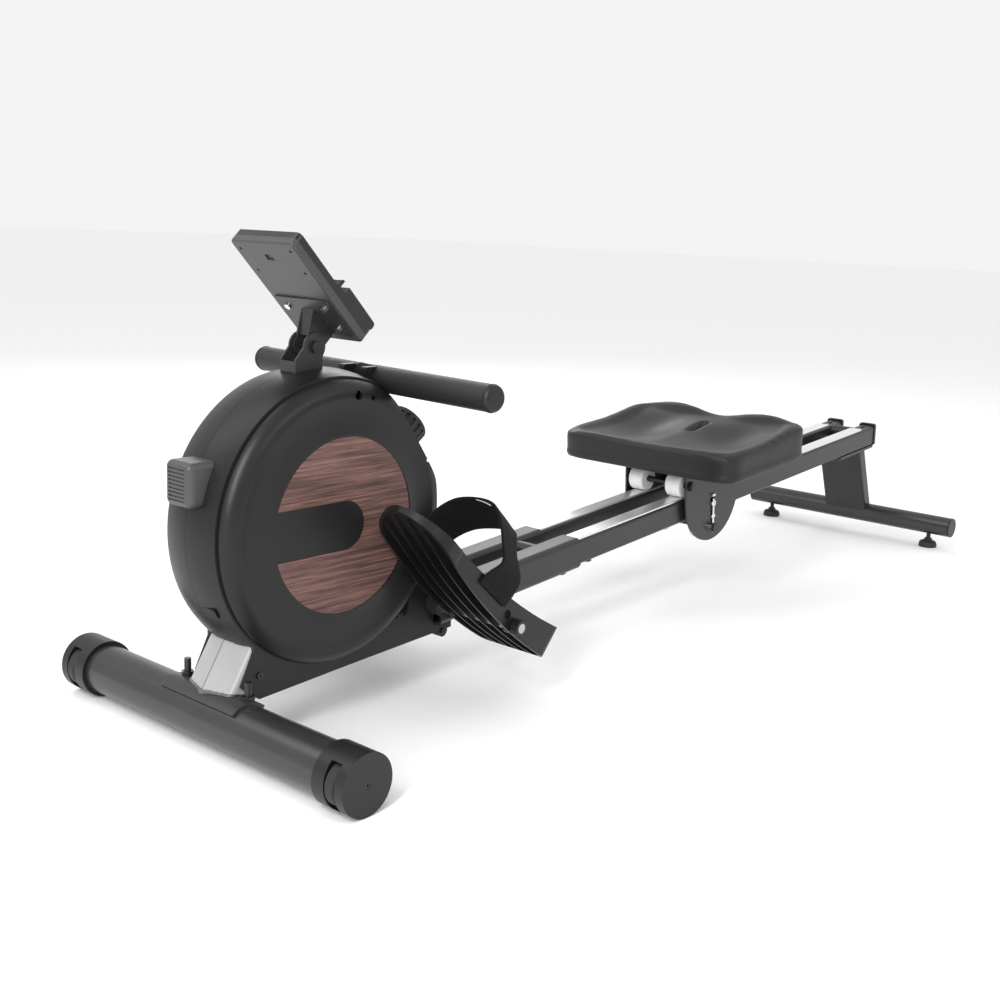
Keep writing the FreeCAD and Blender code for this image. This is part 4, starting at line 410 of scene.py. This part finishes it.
# %% Parts and finishes
dressing = {
    foot_coat: ["front_stabilizer", "rear_stabilizer"],
    black_coat: ["main_beam", "axle_bracket", "console_post", "rail_sleeves", "rail_cross_tubes",
                 "slide_rails", "rear_leg", "seat_carriage", "console_bracket"],
    post_coat: ["front_post"],
    shell_plastic: ["housing_left", "housing_right", "handle_cradle"],
    black_plastic: ["front_end_caps", "pedal_nuts", "rail_end_caps", "rear_end_caps", "strap_spool",
                    "guide_roller", "tension_knob", "handle_end_caps", "console_button"],
    pedal_plastic: ["pedal_left", "pedal_right"],
    grey_plastic: ["console_back", "battery_door"],
    ridge_plastic: ["front_bumper"],
    gloss_black: ["console_front", "console_screen"],
    white_plastic: ["front_rollers", "rear_rollers", "lower_rollers"],
    dark_zinc: ["cross_screws", "stabilizer_bolts", "console_pivot_bolt", "frame_bolts", "carriage_axles"],
    zinc: ["drive_axles", "flywheel_bearings", "recoil_spring", "pedal_shaft", "handlebar"],
    chrome: ["bracket_screws", "lower_adjusters"],
    strip_metal: ["rail_strips"],
    cast_metal: ["flywheel", "magnet_yoke"],
    rubber: ["transport_wheel_left", "transport_wheel_right", "drive_belt", "foot_left", "foot_right"],
    foam: ["handle_grips"],
    wood: ["wood_panels"],
    seat_skin: ["seat_cushion"],
    webbing: ["pull_strap", "pedal_strap_left", "pedal_strap_right"],
}
dressed = 0
for material, names in dressing.items():
    for name in names:
        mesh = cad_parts[name].data
        mesh.materials.clear()
        mesh.materials.append(material)
        dressed += 1
print("dressed", dressed, "parts")

# %% [markdown]
# ## The seat
# The seat is a moulded foam saddle. Its rear rim rises in two humps, two shallow hollows carry the
# rower, a raised border runs round the edge, and a slit near the back relieves the tailbone. It could be
# sculpted by hand; here a height formula shapes a ring-by-ring mesh, and a short cloth simulation under
# pressure rounds it as foam under skin does.

# %% The seat's own axes
rail_slope = math.radians(4.6)
along = Vector((math.cos(rail_slope), 0, math.sin(rail_slope)))
above = Vector((-math.sin(rail_slope), 0, math.cos(rail_slope)))
seat_along = 0.360
seat_board = 0.052
seat_mid = at(600, 0, 151.1) + along * seat_along + above * seat_board
seat_long = 125.0
seat_wide = 165.0


def bell(x, middle, width):
    return math.exp(-((x - middle) / width) ** 2)


def step_up(x, start, end):
    t = min(1.0, max(0.0, (x - start) / (end - start)))
    return t * t * (3 - 2 * t)


def seat_height(x, y):
    """Height of the top in millimetres over the base; x from front to back, y across."""
    u = x / seat_long
    v = y / seat_wide
    humps = bell(abs(v), 0.55, 0.3) - bell(v, 0, 0.25)
    rim = 41 + 10 * step_up(u, -0.2, 0.9) + 6 * step_up(u, 0.3, 1.0) * humps
    rim -= 3 * bell(v, 0, 0.5) * step_up(-u, 0.2, 0.9)
    inside = step_up(1 - abs(v), 0.09, 0.20) * step_up(1 - abs(u), 0.12, 0.26)
    hollow = 17 * bell(u, 0.12, 0.75) * bell(abs(v), 0.48, 0.34) + 3.0
    return rim - hollow * inside


print("top at the back", round(seat_height(110, 80), 1), "mm")
print("top at the front", round(seat_height(-110, 80), 1), "mm")

# %% [markdown]
# From above the seat is a rounded rectangle with softly bowed sides. Four arcs and four lines would do;
# a superellipse is one formula instead, and the higher its power, the squarer its corners.

# %% The seat's outline
CORNER_POWER = 10
EDGE_ROUND = 6


def seat_outline(count, shrink):
    """A rounded rectangle with softly bowed sides."""
    points = []
    for i in range(count):
        a = 2 * math.pi * i / count
        c = math.cos(a)
        s = math.sin(a)
        r = (abs(c) ** CORNER_POWER + abs(s) ** CORNER_POWER) ** (-1 / CORNER_POWER)
        points.append(((seat_long - shrink) * c * r, (seat_wide - shrink) * s * r))
    return points


print("outline of", len(seat_outline(160, 0)), "points")

# %% [markdown]
# The rings, from the middle outwards: the top, five that round the edge, the wall, the lip, and the base.
# Each point of a ring is joined to the same point of the next, which makes clean four-sided faces.

# %% The seat's first shape
def seat_shell(name):
    count = 160
    verts = []
    faces = []
    rings = []
    for t in [k / 22 for k in range(1, 23)]:
        edge = seat_outline(count, EDGE_ROUND)
        rings.append([(x * t, y * t, seat_height(x * t, y * t)) for x, y in edge])
    for k in range(1, 6):
        a = math.pi / 2 * k / 5
        ring = []
        grown = seat_outline(count, EDGE_ROUND - EDGE_ROUND * math.sin(a))
        for (x, y), (inner_x, inner_y) in zip(grown, seat_outline(count, EDGE_ROUND)):
            ring.append((x, y, seat_height(inner_x, inner_y) - EDGE_ROUND * (1 - math.cos(a))))
        rings.append(ring)
    for shrink, height in ((0, 24), (0, 8), (0.5, 0), (2.5, -4), (8, -4.5), (11, 0.6)):
        rings.append([(x, y, height) for x, y in seat_outline(count, shrink)])
    for t in (0.9, 0.6, 0.3):
        rings.append([(x * t, y * t, 0.6) for x, y in seat_outline(count, 12)])
    for ring in rings:
        for x, y, z in ring:
            verts.append(seat_mid + along * (x / 1000) + Y * (y / 1000) + above * (z / 1000))
    for k in range(len(rings) - 1):
        for i in range(count):
            j = (i + 1) % count
            faces.append((k * count + i, k * count + j, (k + 1) * count + j, (k + 1) * count + i))
    top = len(verts)
    verts.append(seat_mid + above * (seat_height(0, 0) / 1000))
    verts.append(seat_mid + above * 0.0006)
    for i in range(count):
        j = (i + 1) % count
        faces.append((top, i, j))
        faces.append((top + 1, (len(rings) - 1) * count + j, (len(rings) - 1) * count + i))
    return face_outwards(new_piece(name, verts, faces))


seat_pad = seat_shell("seat_pad")
print("seat pad", len(seat_pad.data.vertices), "points")

# %% [markdown]
# Foam under a skin bulges a little between its edges. A smoothing tool would only shrink the shape, so
# the mesh is made even and air pressure pushes it out for some frames, as a cloth. How far a point may
# move is capped, so the size stays right, and the base stays flat on its board.

# %% Swell the seat
VOXEL = 0.0045
AIR_PRESSURE = 4.0
MOST_SWELL = 0.0022
BASE_LIMIT = 0.004
LAST_FRAME = 20


def swell(piece, voxel, pressure, cap, flat_below):
    bpy.context.view_layer.objects.active = piece
    remesh = piece.modifiers.new("even", "REMESH")
    remesh.mode = "VOXEL"
    remesh.voxel_size = voxel
    bpy.ops.object.modifier_apply(modifier=remesh.name)
    start = [v.co.copy() for v in piece.data.vertices]
    cloth = piece.modifiers.new("foam", "CLOTH")
    cloth.settings.use_pressure = True
    cloth.settings.uniform_pressure_force = pressure
    cloth.settings.effector_weights.gravity = 0
    cloth.settings.tension_stiffness = 30
    cloth.settings.bending_stiffness = 12
    cloth.point_cache.frame_start = 1
    cloth.point_cache.frame_end = LAST_FRAME
    for step in range(1, LAST_FRAME + 1):
        bpy.context.scene.frame_set(step)
    bpy.ops.object.modifier_apply(modifier=cloth.name)
    bpy.context.scene.frame_set(1)
    farthest = 0.0
    for vertex, home in zip(piece.data.vertices, start):
        move = vertex.co - home
        height = (home - seat_mid).dot(above)
        limit = cap * step_up(height, flat_below, flat_below * 3)
        if move.length > limit:
            move = move * (limit / move.length)
        vertex.co = home + move
        farthest = max(farthest, move.length)
    piece.data.polygons.foreach_set("use_smooth", [True] * len(piece.data.polygons))
    return farthest


moved = swell(seat_pad, VOXEL, AIR_PRESSURE, MOST_SWELL, BASE_LIMIT)
print("seat swelled by up to", round(moved * 1000, 2), "mm,", len(seat_pad.data.vertices), "points")

# %% [markdown]
# A slit near the back of the seat relieves the tailbone. Cutting a real hole would tear the skin's even
# mesh, so the points round the slit are pressed down instead, after the mesh has been made finer. Last,
# the seat is given its skin and takes the place of the plain block.

# %% The seat's slit
SLIT_DEPTH = 15
SLIT_WIDTH = 6.5
TOP_FROM = 22


def press_in(piece):
    """Presses the tailbone slit into the top."""
    for vertex in piece.data.vertices:
        local = vertex.co - seat_mid
        x = local.dot(along) * 1000
        y = local.y * 1000
        height = local.dot(above) * 1000
        if height < TOP_FROM:
            continue
        slit = SLIT_DEPTH * bell(y, 0, SLIT_WIDTH) * step_up(x, 4, 26) * (1 - step_up(x, 62, 72))
        vertex.co -= above * (slit / 1000)


subdivide = seat_pad.modifiers.new("smooth", "SUBSURF")
subdivide.levels = 1
subdivide.render_levels = 1
bpy.context.view_layer.objects.active = seat_pad
bpy.ops.object.modifier_apply(modifier=subdivide.name)
press_in(seat_pad)
seat_pad.data.materials.append(seat_skin)
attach(seat_pad, "seat")
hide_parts("seat_cushion")
print("seat finished with", len(seat_pad.data.polygons), "faces")

# %% [markdown]
# ## Foot straps
# A strap bends gently, so its edges have to be smooth lines. A curve object could draw them, but a band
# needs the points of both edges in step with each other. A formula gives them, from a few stations.

# %% A smooth path
def smooth_path(points, steps):
    """A smooth curve through all the points (Catmull-Rom)."""
    path = []
    ends = [points[0]] + points + [points[-1]]
    for k in range(1, len(ends) - 2):
        a, b, c, d = ends[k - 1:k + 3]
        for i in range(steps):
            t = i / steps
            path.append(0.5 * ((2 * b) + (c - a) * t + (2 * a - 5 * b + 4 * c - d) * t * t
                               + (3 * b - a - 3 * c + d) * t * t * t))
    path.append(points[-1])
    return path


print("path helper ready")

# %% [markdown]
# Each strap is a wide band of hook-and-loop webbing. It is anchored on both sides of the footrest, arches
# over the foot, and folds slightly as it comes down outside. A band mesh that follows a path, with its
# own width direction at each step, gives that twist, which a plain extrusion can't.

# %% A woven band
def band(name, left_edge, right_edge, thick, material, columns=14, wave=0.0):
    """A thin band between two edge lines, with thickness and a UV map in metres."""
    verts = []
    count = len(left_edge)
    for side in (1, -1):
        for k in range(count):
            ahead = left_edge[min(k + 1, count - 1)] - left_edge[max(k - 1, 0)]
            across = right_edge[k] - left_edge[k]
            normal = ahead.cross(across).normalized()
            for i in range(columns + 1):
                t = i / columns
                p = left_edge[k].lerp(right_edge[k], t)
                ripple = wave * math.sin(t * math.pi) * noise.noise(p * 45)
                verts.append(p + normal * (side * thick / 2000 + ripple / 1000))
    faces = []
    row = columns + 1
    back = count * row
    for k in range(count - 1):
        for i in range(columns):
            a = k * row + i
            faces.append((a, a + 1, a + row + 1, a + row))
            faces.append((back + a, back + a + row, back + a + row + 1, back + a + 1))
    for k in range(count - 1):
        for i in (0, columns):
            a = k * row + i
            b = a + row
            faces.append((a, b, back + b, back + a) if i == 0 else (b, a, back + a, back + b))
    for k in (0, count - 1):
        for i in range(columns):
            a = k * row + i
            b = a + 1
            faces.append((b, a, back + a, back + b) if k == 0 else (a, b, back + b, back + a))
    piece = new_piece(name, verts, faces)
    uv = piece.data.uv_layers.new(name="weave")
    lengths = [0.0]
    for k in range(count - 1):
        lengths.append(lengths[-1] + (left_edge[k + 1] - left_edge[k]).length)
    wide = (right_edge[0] - left_edge[0]).length
    for loop in piece.data.loops:
        k, i = divmod(loop.vertex_index % back, row)
        uv.data[loop.index].uv = (wide * i / columns, lengths[k])
    face_outwards(piece)
    piece.data.materials.append(material)
    return piece


print("band helper ready")

# %% [markdown]
# A footrest has its own directions: along the sole towards the toe, and straight off the sole. Points
# given in them read as they would on the bench: how far from the heel, how high, how far to the side.
# Both straps come from one list of stations. The twist lies in the two edges, which part company.

# %% Footrest axes
pedal_tilt = math.radians(41.0)
shaft_from_heel = 87.0
footrest_middle = 125.5
to_toe = Vector((-math.cos(pedal_tilt), 0, math.sin(pedal_tilt)))
off_sole = Vector((math.sin(pedal_tilt), 0, math.cos(pedal_tilt)))


def on_pedal(side, s, up, out):
    """A point on a footrest: s from the heel, up from the sole, out from the footrest's middle."""
    shaft = at(315.0, side * (footrest_middle + out), 114.5)
    return shaft + to_toe * ((s - shaft_from_heel) / 1000) + off_sole * (up / 1000)


# The band's stations. Each has its toe-side edge and its heel-side edge, as (s, up, out).
strap_stations = [((203, 7, -54.5), (147, 7, -54.5)), ((206, 38, -55), (150, 34, -55)),
                  ((206, 70, -48), (149, 64, -50)), ((204, 94, -30), (143, 88, -32)),
                  ((200, 104, -3), (135, 101, -3)), ((201, 101, 27), (138, 99, 23)),
                  ((200, 84, 47), (150, 86, 41)), ((190, 64, 57), (146, 67, 50)),
                  ((174, 44, 60), (125, 46, 56)), ((182, 24, 57), (123, 26, 56)),
                  ((185, 7, 54.5), (125, 7, 54.5))]


def foot_strap(side, name):
    toe_edge = smooth_path([on_pedal(side, *toe) for toe, heel in strap_stations], 8)
    heel_edge = smooth_path([on_pedal(side, *heel) for toe, heel in strap_stations], 8)
    piece = band(name, toe_edge, heel_edge, 2.6, webbing, wave=0.6)
    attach(piece, "pedal_" + ("left" if side < 0 else "right"))
    return piece


for side, word in ((-1, "left"), (1, "right")):
    strap = foot_strap(side, "foot_strap_" + word)
    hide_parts("pedal_strap_" + word)
    print(strap.name, len(strap.data.vertices), "points")

# %% [markdown]
# ## Pull strap
# The strap comes off its spool inside the drum, passes the guide roller and goes round the middle of the
# bar. When the bar is pulled it has to stay a straight line from the drum to the bar. A chain of bones
# could do that. Here the band is built at rest, with plenty of steps along its length, and only the loop
# round the bar moves with the handle.

# %% The strap and its loop
bar_low, bar_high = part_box("handlebar")
bar_mid = (Vector(bar_low) + Vector(bar_high)) / 2
facet_angle = math.radians(35.9)
facet_out = Vector((math.cos(facet_angle), 0, math.sin(facet_angle)))
facet_up = Vector((-facet_out.z, 0, facet_out.x))
drum_mid = at(143.3, 0, 244.8)
roller_out = 0.1214
roller_up = 0.050
roller_mid = drum_mid + facet_out * roller_out + facet_up * roller_up
strap_half = 0.011
roller_reach = 0.0093
bar_reach = 0.0140


def on_roller(degrees):
    a = math.radians(degrees)
    return roller_mid + Vector((math.cos(a), 0, math.sin(a))) * roller_reach


spool_x = 252.0
spool_turns = 21.3
strap_foot = at(spool_x - spool_turns, 0, 158.0)
bar_under = bar_mid - Z * bar_reach
run = [strap_foot.lerp(on_roller(180), k / 12) for k in range(12)]
run += [on_roller(d) for d in range(180, 134, -9)]
run += [on_roller(135).lerp(bar_under, k / 24) for k in range(1, 25)]
left_edge = [p - Y * strap_half for p in run]
right_edge = [p + Y * strap_half for p in run]
pull_band = band("pull_band", left_edge, right_edge, 1.8, webbing)
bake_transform(pull_band)
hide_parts("pull_strap")
angles = [math.pi * 2 * k / 40 for k in range(41)]
turns = [bar_mid + Vector((math.sin(a), 0, math.cos(a))) * bar_reach for a in angles]
left_edge = [p - Y * strap_half for p in turns]
right_edge = [p + Y * strap_half for p in turns]
bar_loop = band("bar_loop", left_edge, right_edge, 2.4, webbing)
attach(bar_loop, "handle")
strap_length = sum((b - a).length for a, b in zip(run, run[1:]))
print("strap length at rest", round(strap_length * 1000), "mm")

# %% [markdown]
# ## Small details
# A weld bead, a line of stitching, the drum's clip and the nuts in the carriage's windows are tiny, but
# the eye misses them when they aren't there. Typed places would float or sink on a curved cover, so the
# places are found by shooting a ray at it.

# %% Touching a cover
def touch(node, start, direction):
    """The point where a ray first meets a part, and the surface's direction there."""
    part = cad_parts[node]
    turn = part.matrix_world.inverted()
    hit, place, normal, _ = part.ray_cast(turn @ start, (turn.to_3x3() @ direction).normalized())
    if not hit:
        return start, -direction
    return part.matrix_world @ place, (part.matrix_world.to_3x3() @ normal).normalized()


def ride_with(piece, material, body="frame"):
    piece.data.materials.append(material)
    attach(piece, body)
    return piece


print("touch ready")

# %% [markdown]
# A weld is a bead of melted steel, a little uneven. A round bead swept along points does it: each point
# is found on the post's front by a ray, and a touch of noise makes the line waver.

# %% The weld bead on the front post
def frame_along(direction):
    """Three axes at right angles, the last along the direction."""
    w = Vector(direction).normalized()
    helper = Vector((0, 0, 1)) if abs(w.z) < 0.9 else Vector((1, 0, 0))
    u = helper.cross(w).normalized()
    return u, w.cross(u), w


def tube(name, points, radius, sides=12, closed=False):
    """A round bead along points; the radius is in millimetres."""
    verts = []
    faces = []
    count = len(points)
    for k, p in enumerate(points):
        before = points[k - 1] if (k > 0 or closed) else p
        after = points[(k + 1) % count] if (k < count - 1 or closed) else p
        u, v, _ = frame_along(after - before)
        for i in range(sides):
            a = 2 * math.pi * i / sides
            verts.append(p + (u * math.cos(a) + v * math.sin(a)) * radius / 1000)
    last = count if closed else count - 1
    for k in range(last):
        n = (k + 1) % count
        for i in range(sides):
            j = (i + 1) % sides
            faces.append((k * sides + i, k * sides + j, n * sides + j, n * sides + i))
    if not closed:
        faces.append(tuple(range(sides))[::-1])
        faces.append(tuple((count - 1) * sides + i for i in range(sides)))
    return face_outwards(new_piece(name, verts, faces))


bead = []
for k in range(33):
    y = -38 + 76 * k / 32
    place, _ = touch("front_post", at(-60, y, 70 + 1.5 * noise.noise(Vector((k * 0.7, 0, 0)))), X)
    bead.append(place - Z * 0.002)
ride_with(tube("post_weld", bead, 2.2, 10), weld_metal)
print("weld bead", len(bead), "points")

# %% [markdown]
# A small clip holds the two halves of the cover together, and a shaded recess is moulded into each side
# behind the drum. The clip is a slab with rounded edges laid on the crown. The recess is only shade: a
# dark triangle on the surface, since a hole would need the cover's own mesh to change.

# %% The drum's clip and the recess behind the drum
def slab(name, centre, size, axes, soft=1.0):
    """A box with rounded edges; size and soft are in millimetres, axes are its three directions."""
    bm = bmesh.new()
    bmesh.ops.create_cube(bm, size=1)
    turn = Matrix([list(a.normalized()) for a in axes]).transposed().to_4x4()
    scale = Matrix.Diagonal((size[0] / 1000, size[1] / 1000, size[2] / 1000, 1))
    bmesh.ops.transform(bm, matrix=scale, verts=bm.verts)
    if soft:
        bmesh.ops.bevel(bm, geom=bm.edges[:] + bm.verts[:], offset=soft / 1000, segments=3,
                        affect="EDGES", profile=0.5)
    bmesh.ops.transform(bm, matrix=Matrix.Translation(centre) @ turn, verts=bm.verts)
    mesh = bpy.data.meshes.new(name)
    bm.to_mesh(mesh)
    bm.free()
    piece = bpy.data.objects.new(name, mesh)
    bpy.context.scene.collection.objects.link(piece)
    return piece


crown_place, crown_normal = touch("housing_left", at(-120, -16, 162), X)
clip_up = Y.cross(crown_normal)
ride_with(slab("crown_clip", crown_place + crown_normal * 0.0004, (13, 20, 1.6),
               (clip_up, Y, crown_normal), 0.5), shell_plastic)
for side in (-1, 1):
    node = "housing_left" if side < 0 else "housing_right"
    corners = []
    for x, z in ((236, 106), (262, 133), (266, 108)):
        place, _ = touch(node, at(x, side * 150, z), Y * -side)
        corners.append(place + Y * side * 0.0004)
    under = [c - Y * side * 0.0002 for c in corners]
    sides = [(0, 1, 2), (5, 4, 3), (0, 3, 4, 1), (1, 4, 5, 2), (2, 5, 3, 0)]
    shade = face_outwards(new_piece("recess_" + node[8:], corners + under, sides, smooth=False))
    ride_with(shade, painted_shade)
print("clip and recesses done")

# %% [markdown]
# Beside each nut the footrest has a spare hole, shown here by a disc of painted shade turned on a lathe
# with a thin ring round it. The strap has a light line of stitching near its toe edge, a fine bead laid on
# the band.

# %% Footrest holes and the strap's stitching
def lathe(name, centre, axis, profile, steps=48):
    """Turns (radius, height) pairs in millimetres round an axis."""
    u, v, w = frame_along(axis)
    verts = []
    faces = []
    for radius, height in profile:
        for i in range(steps):
            a = 2 * math.pi * i / steps
            outward = (u * math.cos(a) + v * math.sin(a)) * radius / 1000
            verts.append(centre + outward + w * height / 1000)
    for ring in range(len(profile) - 1):
        here = ring * steps
        above_it = here + steps
        for i in range(steps):
            j = (i + 1) % steps
            faces.append((here + i, here + j, above_it + j, above_it + i))
    faces.append(tuple(range(steps))[::-1])
    faces.append(tuple((len(profile) - 1) * steps + i for i in range(steps)))
    return face_outwards(new_piece(name, verts, faces))


spare_rim = 0.0062
for side, word in ((-1, "left"), (1, "right")):
    place, _ = touch("pedal_" + word, on_pedal(side, 110, 4, 90), Y * -side)
    # Painted shade: the dark disc stands in for the shade inside the spare hole.
    disc = [(5.6, -0.6), (5.6, 0.2), (0.5, 0.3)]
    hole_shade = lathe("spare_hole_" + word, place + Y * side * 0.0002, Y * side, disc, 32)
    ride_with(hole_shade, painted_shade, "pedal_" + word)
    angles = [2 * math.pi * k / 32 for k in range(32)]
    rim_path = [place + (X * math.cos(a) + Z * math.sin(a)) * spare_rim for a in angles]
    ring = tube("spare_hole_rim_" + word, rim_path, 0.7, 8, closed=True)
    ride_with(ring, pedal_plastic, "pedal_" + word)
    steps = [k / 8 for k in range(9)]
    stitch_path = [on_pedal(side, 198.5, 102.5 - 3.5 * t * t, -3 + 26 * t) for t in steps]
    ride_with(tube("strap_stitch_" + word, stitch_path, 0.7, 6), tag_cloth, "pedal_" + word)
print("footrest details done")

# %% [markdown]
# Through the window in each cheek of the carriage the bright nuts of the lower roller's adjuster show.
# They are small rounded blocks, one above the other. At this size more shape would never be seen.

# %% Nuts in the carriage's windows
nut_out = 60.6
for side, word in ((-1, "left"), (1, "right")):
    for down, wide, high in ((8, 9, 4.5), (21, 12, 5.0), (44, 10, 5.5)):
        spot = at(600, side * nut_out, 151.1) + along * seat_along + above * (-down / 1000)
        name = "adjuster_nut_" + word + "_" + str(down)
        nut = slab(name, spot, (wide, 4.0, high), (along, Y, above), 0.8)
        ride_with(nut, chrome, "seat")
print("window nuts done")

# %% [markdown]
# Where each foam grip meets its end cap a thin ring stands out. It is a bead again, closed this time, and
# it follows the bar, which lies slightly askew in its cradle.

# %% Rings at the ends of the bar
bar_turn = math.radians(4.5)
bar_dir = Vector((math.sin(bar_turn), math.cos(bar_turn), 0))
cap_seam = 0.2128
ring_reach = 0.0156
for side, word in ((-1, "left"), (1, "right")):
    middle = bar_mid + bar_dir * side * cap_seam
    u, v, _ = frame_along(bar_dir)
    angles = [2 * math.pi * k / 48 for k in range(48)]
    ring_path = [middle + (u * math.cos(a) + v * math.sin(a)) * ring_reach for a in angles]
    ring = tube("bar_ring_" + word, ring_path, 0.7, 8, closed=True)
    ride_with(ring, black_plastic, "handle")
print("bar rings done")

# %% [markdown]
# ## Studio
# A pale floor and a bright, even surround make the plain background. Black parts need lights they can
# mirror: long soft boxes above, at the left, behind and near the viewer draw the long pale streaks on
# them. The standard colour view is used because the softer one would turn the pale floor grey.

# %% Floor and lights
floor_low = cad_box[0][2]
bpy.ops.mesh.primitive_plane_add(size=60, location=(0, 0, floor_low - 0.0005))
floor = bpy.context.object
floor.name = "studio_floor"
pale = bpy.data.materials.new("studio_floor_paint")
pale.use_nodes = True
pale.node_tree.nodes["Principled BSDF"].inputs["Base Color"].default_value = (0.96, 0.96, 0.96, 1)
pale.node_tree.nodes["Principled BSDF"].inputs["Roughness"].default_value = 0.9
floor.data.materials.append(pale)

world = bpy.data.worlds.new("studio_surround")
bpy.context.scene.world = world
world.use_nodes = True
bpy.context.scene.view_settings.view_transform = "Standard"
world.node_tree.nodes["Background"].inputs["Color"].default_value = (1, 1, 1, 1)
world.node_tree.nodes["Background"].inputs["Strength"].default_value = 0.90


def softbox(name, place, target, size, watts):
    light = bpy.data.lights.new(name, "AREA")
    light.shape = "RECTANGLE"
    light.size, light.size_y = size
    light.energy = watts
    lamp = bpy.data.objects.new(name, light)
    bpy.context.scene.collection.objects.link(lamp)
    lamp.location = place
    lamp.rotation_euler = (Vector(target) - Vector(place)).to_track_quat("-Z", "Y").to_euler()
    return lamp


softbox("top_light", (-1.4, 0.9, 2.2), (-0.6, 0, 0.2), (1.0, 2.4), 14)
softbox("left_light", (-2.5, -0.9, 1.5), (-0.75, 0, 0.1), (0.35, 1.6), 44)
softbox("rear_light", (1.6, 2.2, 1.8), (0.4, 0, 0.2), (1.6, 0.6), 16)
softbox("near_light", (0.2, -3.0, 2.0), (-0.3, 0, 0.2), (2.4, 0.5), 14)

# %% [markdown]
# The camera stands at the front left, a little above the bar. Its direction is worked out from three
# angles: the turn to the right, the dip, and a slight lean. An empty to track would be quicker to set up
# but can't lean.

# %% Camera
yaw = math.radians(49.898)
pitch = math.radians(12.211)
roll = math.radians(2.504)
look = Vector((math.sin(yaw) * math.cos(pitch), math.cos(yaw) * math.cos(pitch), -math.sin(pitch)))
level = Vector((math.cos(yaw), -math.sin(yaw), 0))
upright = level.cross(look)
right = level * math.cos(roll) + upright * math.sin(roll)
top = upright * math.cos(roll) - level * math.sin(roll)
camera_data = bpy.data.cameras.new("studio_camera")
camera_data.sensor_width = 36.0
camera_data.lens = 45.635
camera = bpy.data.objects.new("studio_camera", camera_data)
bpy.context.scene.collection.objects.link(camera)
place = at(-825.67, -1106.63, 588.95)
camera.matrix_world = Matrix.Translation(place) @ Matrix((right, top, -look)).transposed().to_4x4()
bpy.context.scene.camera = camera
print("camera at", [round(c, 3) for c in place])
